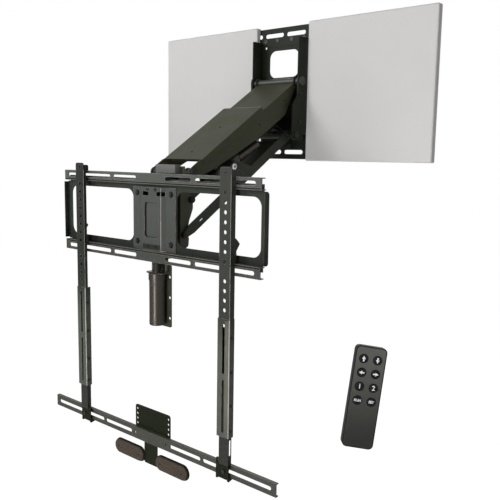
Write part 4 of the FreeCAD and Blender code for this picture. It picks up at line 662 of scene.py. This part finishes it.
def buildWashers():
    low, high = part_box("centre_plate")
    y = low.y + washer["flange"] - washer["thick"] / 2
    parts = [addRod(washer["radius"], washer["thick"], (x, y, high.z + z), "Y", washer["sides"], washer["soft"])
             for x in (-washer["x"], washer["x"]) for z in washer["z"]]
    return settle(joinPieces(parts), "hatWashers", "shadeAndWasherBlack", "screen_frame")


# painted highlights: pale lines along the right edge of both upright bars
barFoldHighlight = {"split": -0.6270, "top": -0.262, "margin": 0.001, "sides": 20,
           "upper": {"x": 0.0188, "y": 0.0018, "radius": 0.0004, "sides": 16},
           "sleeve": {"x": 0.0201, "y": 0.0004, "radius": 0.0016, "soft": 0.0003}}
barSheen = {"left": 0.0058, "right": 0.0196, "thick": 0.0004, "short": 0.004, "soft": 0.0001}


def buildBarFold(node, name):
    low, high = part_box(node)
    middle, split, top = (low.x + high.x) / 2, barFoldHighlight["split"], barFoldHighlight["top"]
    upper, sleeve = barFoldHighlight["upper"], barFoldHighlight["sleeve"]
    fine = addRod(upper["radius"], top - split, (middle + upper["x"], low.y + upper["y"], (top + split) / 2),
                  "Z", upper["sides"])
    bold = addRod(sleeve["radius"], split - low.z - 2 * barFoldHighlight["margin"],
                  (middle + sleeve["x"], low.y + sleeve["y"], (split + low.z) / 2),
                  "Z", barFoldHighlight["sides"], sleeve["soft"])
    return settle(joinPieces([fine, bold]), name, "barFoldHighlight", "screen_frame")


def buildBarSheen():
    # a painted sheen: the pale right half of the right sleeve's face
    low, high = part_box("right_tv_bar")
    x = (low.x + high.x) / 2 + (barSheen["left"] + barSheen["right"]) / 2
    tall = barFoldHighlight["split"] - low.z - 2 * barSheen["short"]
    piece = addSlab((barSheen["right"] - barSheen["left"], barSheen["thick"], tall),
                    (x, low.y, (barFoldHighlight["split"] + low.z) / 2), barSheen["soft"])
    return settle(piece, "rightSleeveSheen", "barSheen", "screen_frame")


# painted fold lines along both frame rails: a dark painted shadow line between two pale lips that are painted
# highlights
railFold = {"inset": 0.004, "lips": ((0.0009, 0.0008), (0.0006, 0.0066)), "sides": 16,
            "shadowLinePlace": 0.0038, "shadowLineTall": 0.0026, "thick": 0.0004}


def buildRailFolds(node, name, fromTop):
    low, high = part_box(node)
    start, way = (high.z, -1) if fromTop else (low.z, 1)
    middle, run = (low.x + high.x) / 2, high.x - low.x - 2 * railFold["inset"]
    lips = [addRod(radius, run, (middle, low.y + radius - railFold["thick"], start + way * place),
                   "X", railFold["sides"]) for radius, place in railFold["lips"]]
    settle(joinPieces(lips), name + "HighlightLips", "barSheen", "screen_frame")
    shadowLine = addSlab((run, railFold["thick"], railFold["shadowLineTall"]),
                     (middle, low.y, start + way * railFold["shadowLinePlace"]))
    return settle(shadowLine, name + "ShadowLine", "shadeAndWasherBlack", "screen_frame")


# a painted highlight along the lid's upper edge
lidEdgeHighlight = {"reach": 0.0012, "radius": 0.0008, "inset": 0.0004, "margin": 0.001, "sides": 20, "soft": 0.0003}


def buildLidEdge():
    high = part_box("arm_cover")[1]
    corners = [corner.co for corner in nodes["arm_cover"].data.vertices]
    ridge = [spot for spot in corners if spot.z > high.z - lidEdgeHighlight["reach"]]
    left, right = min(spot.x for spot in ridge), max(spot.x for spot in ridge)
    y = max(spot.y for spot in ridge) - lidEdgeHighlight["inset"]
    piece = addRod(lidEdgeHighlight["radius"], right - left - 2 * lidEdgeHighlight["margin"],
                   ((left + right) / 2, y, high.z - lidEdgeHighlight["inset"]), "X", lidEdgeHighlight["sides"], lidEdgeHighlight["soft"])
    return settle(piece, "lidUpperEdgeHighlight", "lidEdgeHighlight", "upper_arm")


buildNotchSheet()
buildSlotSheets()
buildBarSheen()
buildLidEdge()
buildRailFolds("top_tv_rail", "topRail", False)
buildRailFolds("bottom_tv_rail", "bottomRail", True)
buildHatFold()
buildHatShades()
buildWashers()
buildBarFold("right_tv_bar", "rightBarFoldHighlight")
buildBarFold("left_tv_bar", "leftBarFoldHighlight")
print("frame, bars and lid dressed")

# a grey button in the middle of each pale ear cap
earCap = {"radius": 0.0042, "rise": 0.0008, "sides": 40, "soft": 0.0004}


def buildCapButton(side, name):
    low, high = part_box("ear_caps")
    middle = (low + high) / 2
    piece = addRod(earCap["radius"], earCap["rise"] * 2, (side * high.x, middle.y, middle.z),
                   "X", earCap["sides"], earCap["soft"])
    return settle(piece, name, "capGrey", "lower_arm")


buildCapButton(1, "rightCapButton")
buildCapButton(-1, "leftCapButton")

# swivel motor: crimped rims, and an end boss between two screws
motor = {"radius": 0.0225,
         "rim": {"rise": 0.0006, "height": 0.0035, "fromTop": (0.006, 0.013), "fromFoot": 0.011, "sides": 64,
                 "soft": 0.0008},
         "boss": {"radius": 0.0075, "height": 0.0012, "drop": 0.0004, "sides": 40, "soft": 0.0005},
         "screw": {"radius": 0.0024, "height": 0.0014, "drop": 0.0002, "sides": 24, "soft": 0.0004,
                   "place": 0.0145}}


def buildMotorTrim():
    low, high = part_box("swivel_motor")
    x, y = (low.x + high.x) / 2, high.y - (high.x - low.x) / 2
    rim, boss, screw = motor["rim"], motor["boss"], motor["screw"]
    heights = [high.z - drop for drop in rim["fromTop"]] + [low.z + rim["fromFoot"]]
    rims = [addRod(motor["radius"] + rim["rise"], rim["height"], (x, y, z), "Z", rim["sides"], rim["soft"])
            for z in heights]
    settle(joinPieces(rims), "motorRims", "motorBlack", "head")
    parts = [addRod(boss["radius"], boss["height"], (x, y, low.z - boss["drop"]), "Z", boss["sides"],
                    boss["soft"])]
    for dx in (-screw["place"], screw["place"]):
        parts.append(addRod(screw["radius"], screw["height"], (x + dx, y, low.z - screw["drop"]), "Z",
                            screw["sides"], screw["soft"]))
    return settle(joinPieces(parts), "motorEndBoss", "boltBlack", "head")


buildMotorTrim()

# control box: lid screws and vent slots on the side that is open to the wall
controlBox = {"screw": {"inset": 0.008, "radius": 0.0028, "height": 0.0012, "sides": 24, "soft": 0.0004},
              "vent": {"count": 7, "pitch": 0.007, "size": (0.034, 0.0006, 0.0026), "soft": 0.0002}}


def buildBoxTrim():
    low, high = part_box("control_box")
    screw, vent = controlBox["screw"], controlBox["vent"]
    inset = screw["inset"]
    screws = [addRod(screw["radius"], screw["height"], (x, high.y, z), "Y", screw["sides"], screw["soft"])
              for x in (low.x + inset, high.x - inset) for z in (low.z + inset, high.z - inset)]
    settle(joinPieces(screws), "boxLidScrews", "boltBlack", "wall")
    middle = (low + high) / 2
    first = middle.z - vent["pitch"] * (vent["count"] - 1) / 2
    vents = [addSlab(vent["size"], (middle.x, high.y, first + k * vent["pitch"]), vent["soft"])
             for k in range(vent["count"])]
    return settle(joinPieces(vents), "boxVents", "boltBlack", "wall")


buildBoxTrim()
print("motor, caps and box dressed")

# a white floor and room, with a key lamp, a tall strip for the motor's shine, a side fill and a rear fill
stage = {"floor": -1.75, "size": 60.0, "white": 0.9, "rough": 0.9, "specular": 0.1, "seen": 0.9, "glow": 1.09,
         "ambient": 0.17,
         "key": {"place": (-1.6, -3.4, 1.0), "size": (1.2, 1.2), "power": 56, "aim": (0, -0.3, -0.3)},
         "side": {"place": (3.0, -0.9, 0.0), "size": (1.4, 1.4), "power": 7, "aim": (0, -0.3, -0.3)},
         "strip": {"place": (0.45, -3.1, -0.9), "size": (0.60, 2.6), "power": 50, "aim": (0, -0.5, -0.6)},
         "rear": {"place": (-1.2, 3.2, 1.4), "size": (2.0, 2.0), "power": 70, "aim": (0, 0, -0.3)}}


def addFloor():
    clearChoice()
    bpy.ops.mesh.primitive_plane_add(size=stage["size"], location=(0, 0, stage["floor"]))
    floor = bpy.context.object
    floor.name = "floor"
    paint = bpy.data.materials.new("floorPaint")
    paint.use_nodes = True
    tree = paint.node_tree
    shader = tree.nodes["Principled BSDF"]
    shader.inputs["Base Color"].default_value = (stage["white"],) * 3 + (1,)
    shader.inputs["Roughness"].default_value = stage["rough"]
    shader.inputs["Specular IOR Level"].default_value = stage["specular"]
    glow = addNode(tree, "ShaderNodeEmission", Color=(1, 1, 1, 1), Strength=stage["glow"])
    path = tree.nodes.new("ShaderNodeLightPath")
    part = addMath(tree, "MULTIPLY", path.outputs["Is Camera Ray"], stage["seen"])
    mix = tree.nodes.new("ShaderNodeMixShader")
    tree.links.new(part, mix.inputs[0])
    tree.links.new(shader.outputs[0], mix.inputs[1])
    tree.links.new(glow.outputs[0], mix.inputs[2])
    tree.links.new(mix.outputs[0], tree.nodes["Material Output"].inputs["Surface"])
    floor.data.materials.append(paint)


def addWorld():
    world = bpy.data.worlds.new("softRoom")
    bpy.context.scene.world = world
    world.use_nodes = True
    tree = world.node_tree
    back = tree.nodes["Background"]
    back.inputs["Color"].default_value = (1, 1, 1, 1)
    path = tree.nodes.new("ShaderNodeLightPath")
    seen = addMath(tree, "MAXIMUM", path.outputs["Is Camera Ray"], path.outputs["Is Transmission Ray"])
    shine = addMath(tree, "MAXIMUM", seen, path.outputs["Is Glossy Ray"])
    level = addNode(tree, "ShaderNodeMapRange", Value=shine)
    level.inputs["To Min"].default_value = stage["ambient"]
    level.inputs["To Max"].default_value = 1.0
    tree.links.new(level.outputs["Result"], back.inputs["Strength"])


def addLamp(name):
    spec = stage[name]
    light = bpy.data.lights.new(name, "AREA")
    light.shape = "RECTANGLE"
    light.size, light.size_y = spec["size"]
    light.energy = spec["power"]
    holder = bpy.data.objects.new(name, light)
    bpy.context.scene.collection.objects.link(holder)
    holder.visible_camera = False
    holder.location = spec["place"]
    holder.rotation_euler = (Vector(spec["aim"]) - holder.location).to_track_quat("-Z", "Y").to_euler()


addFloor()
addWorld()
for name in ("key", "strip", "side", "rear"):
    addLamp(name)
bpy.context.scene.view_settings.view_transform = "Standard"
print("stage set")

clearChoice()
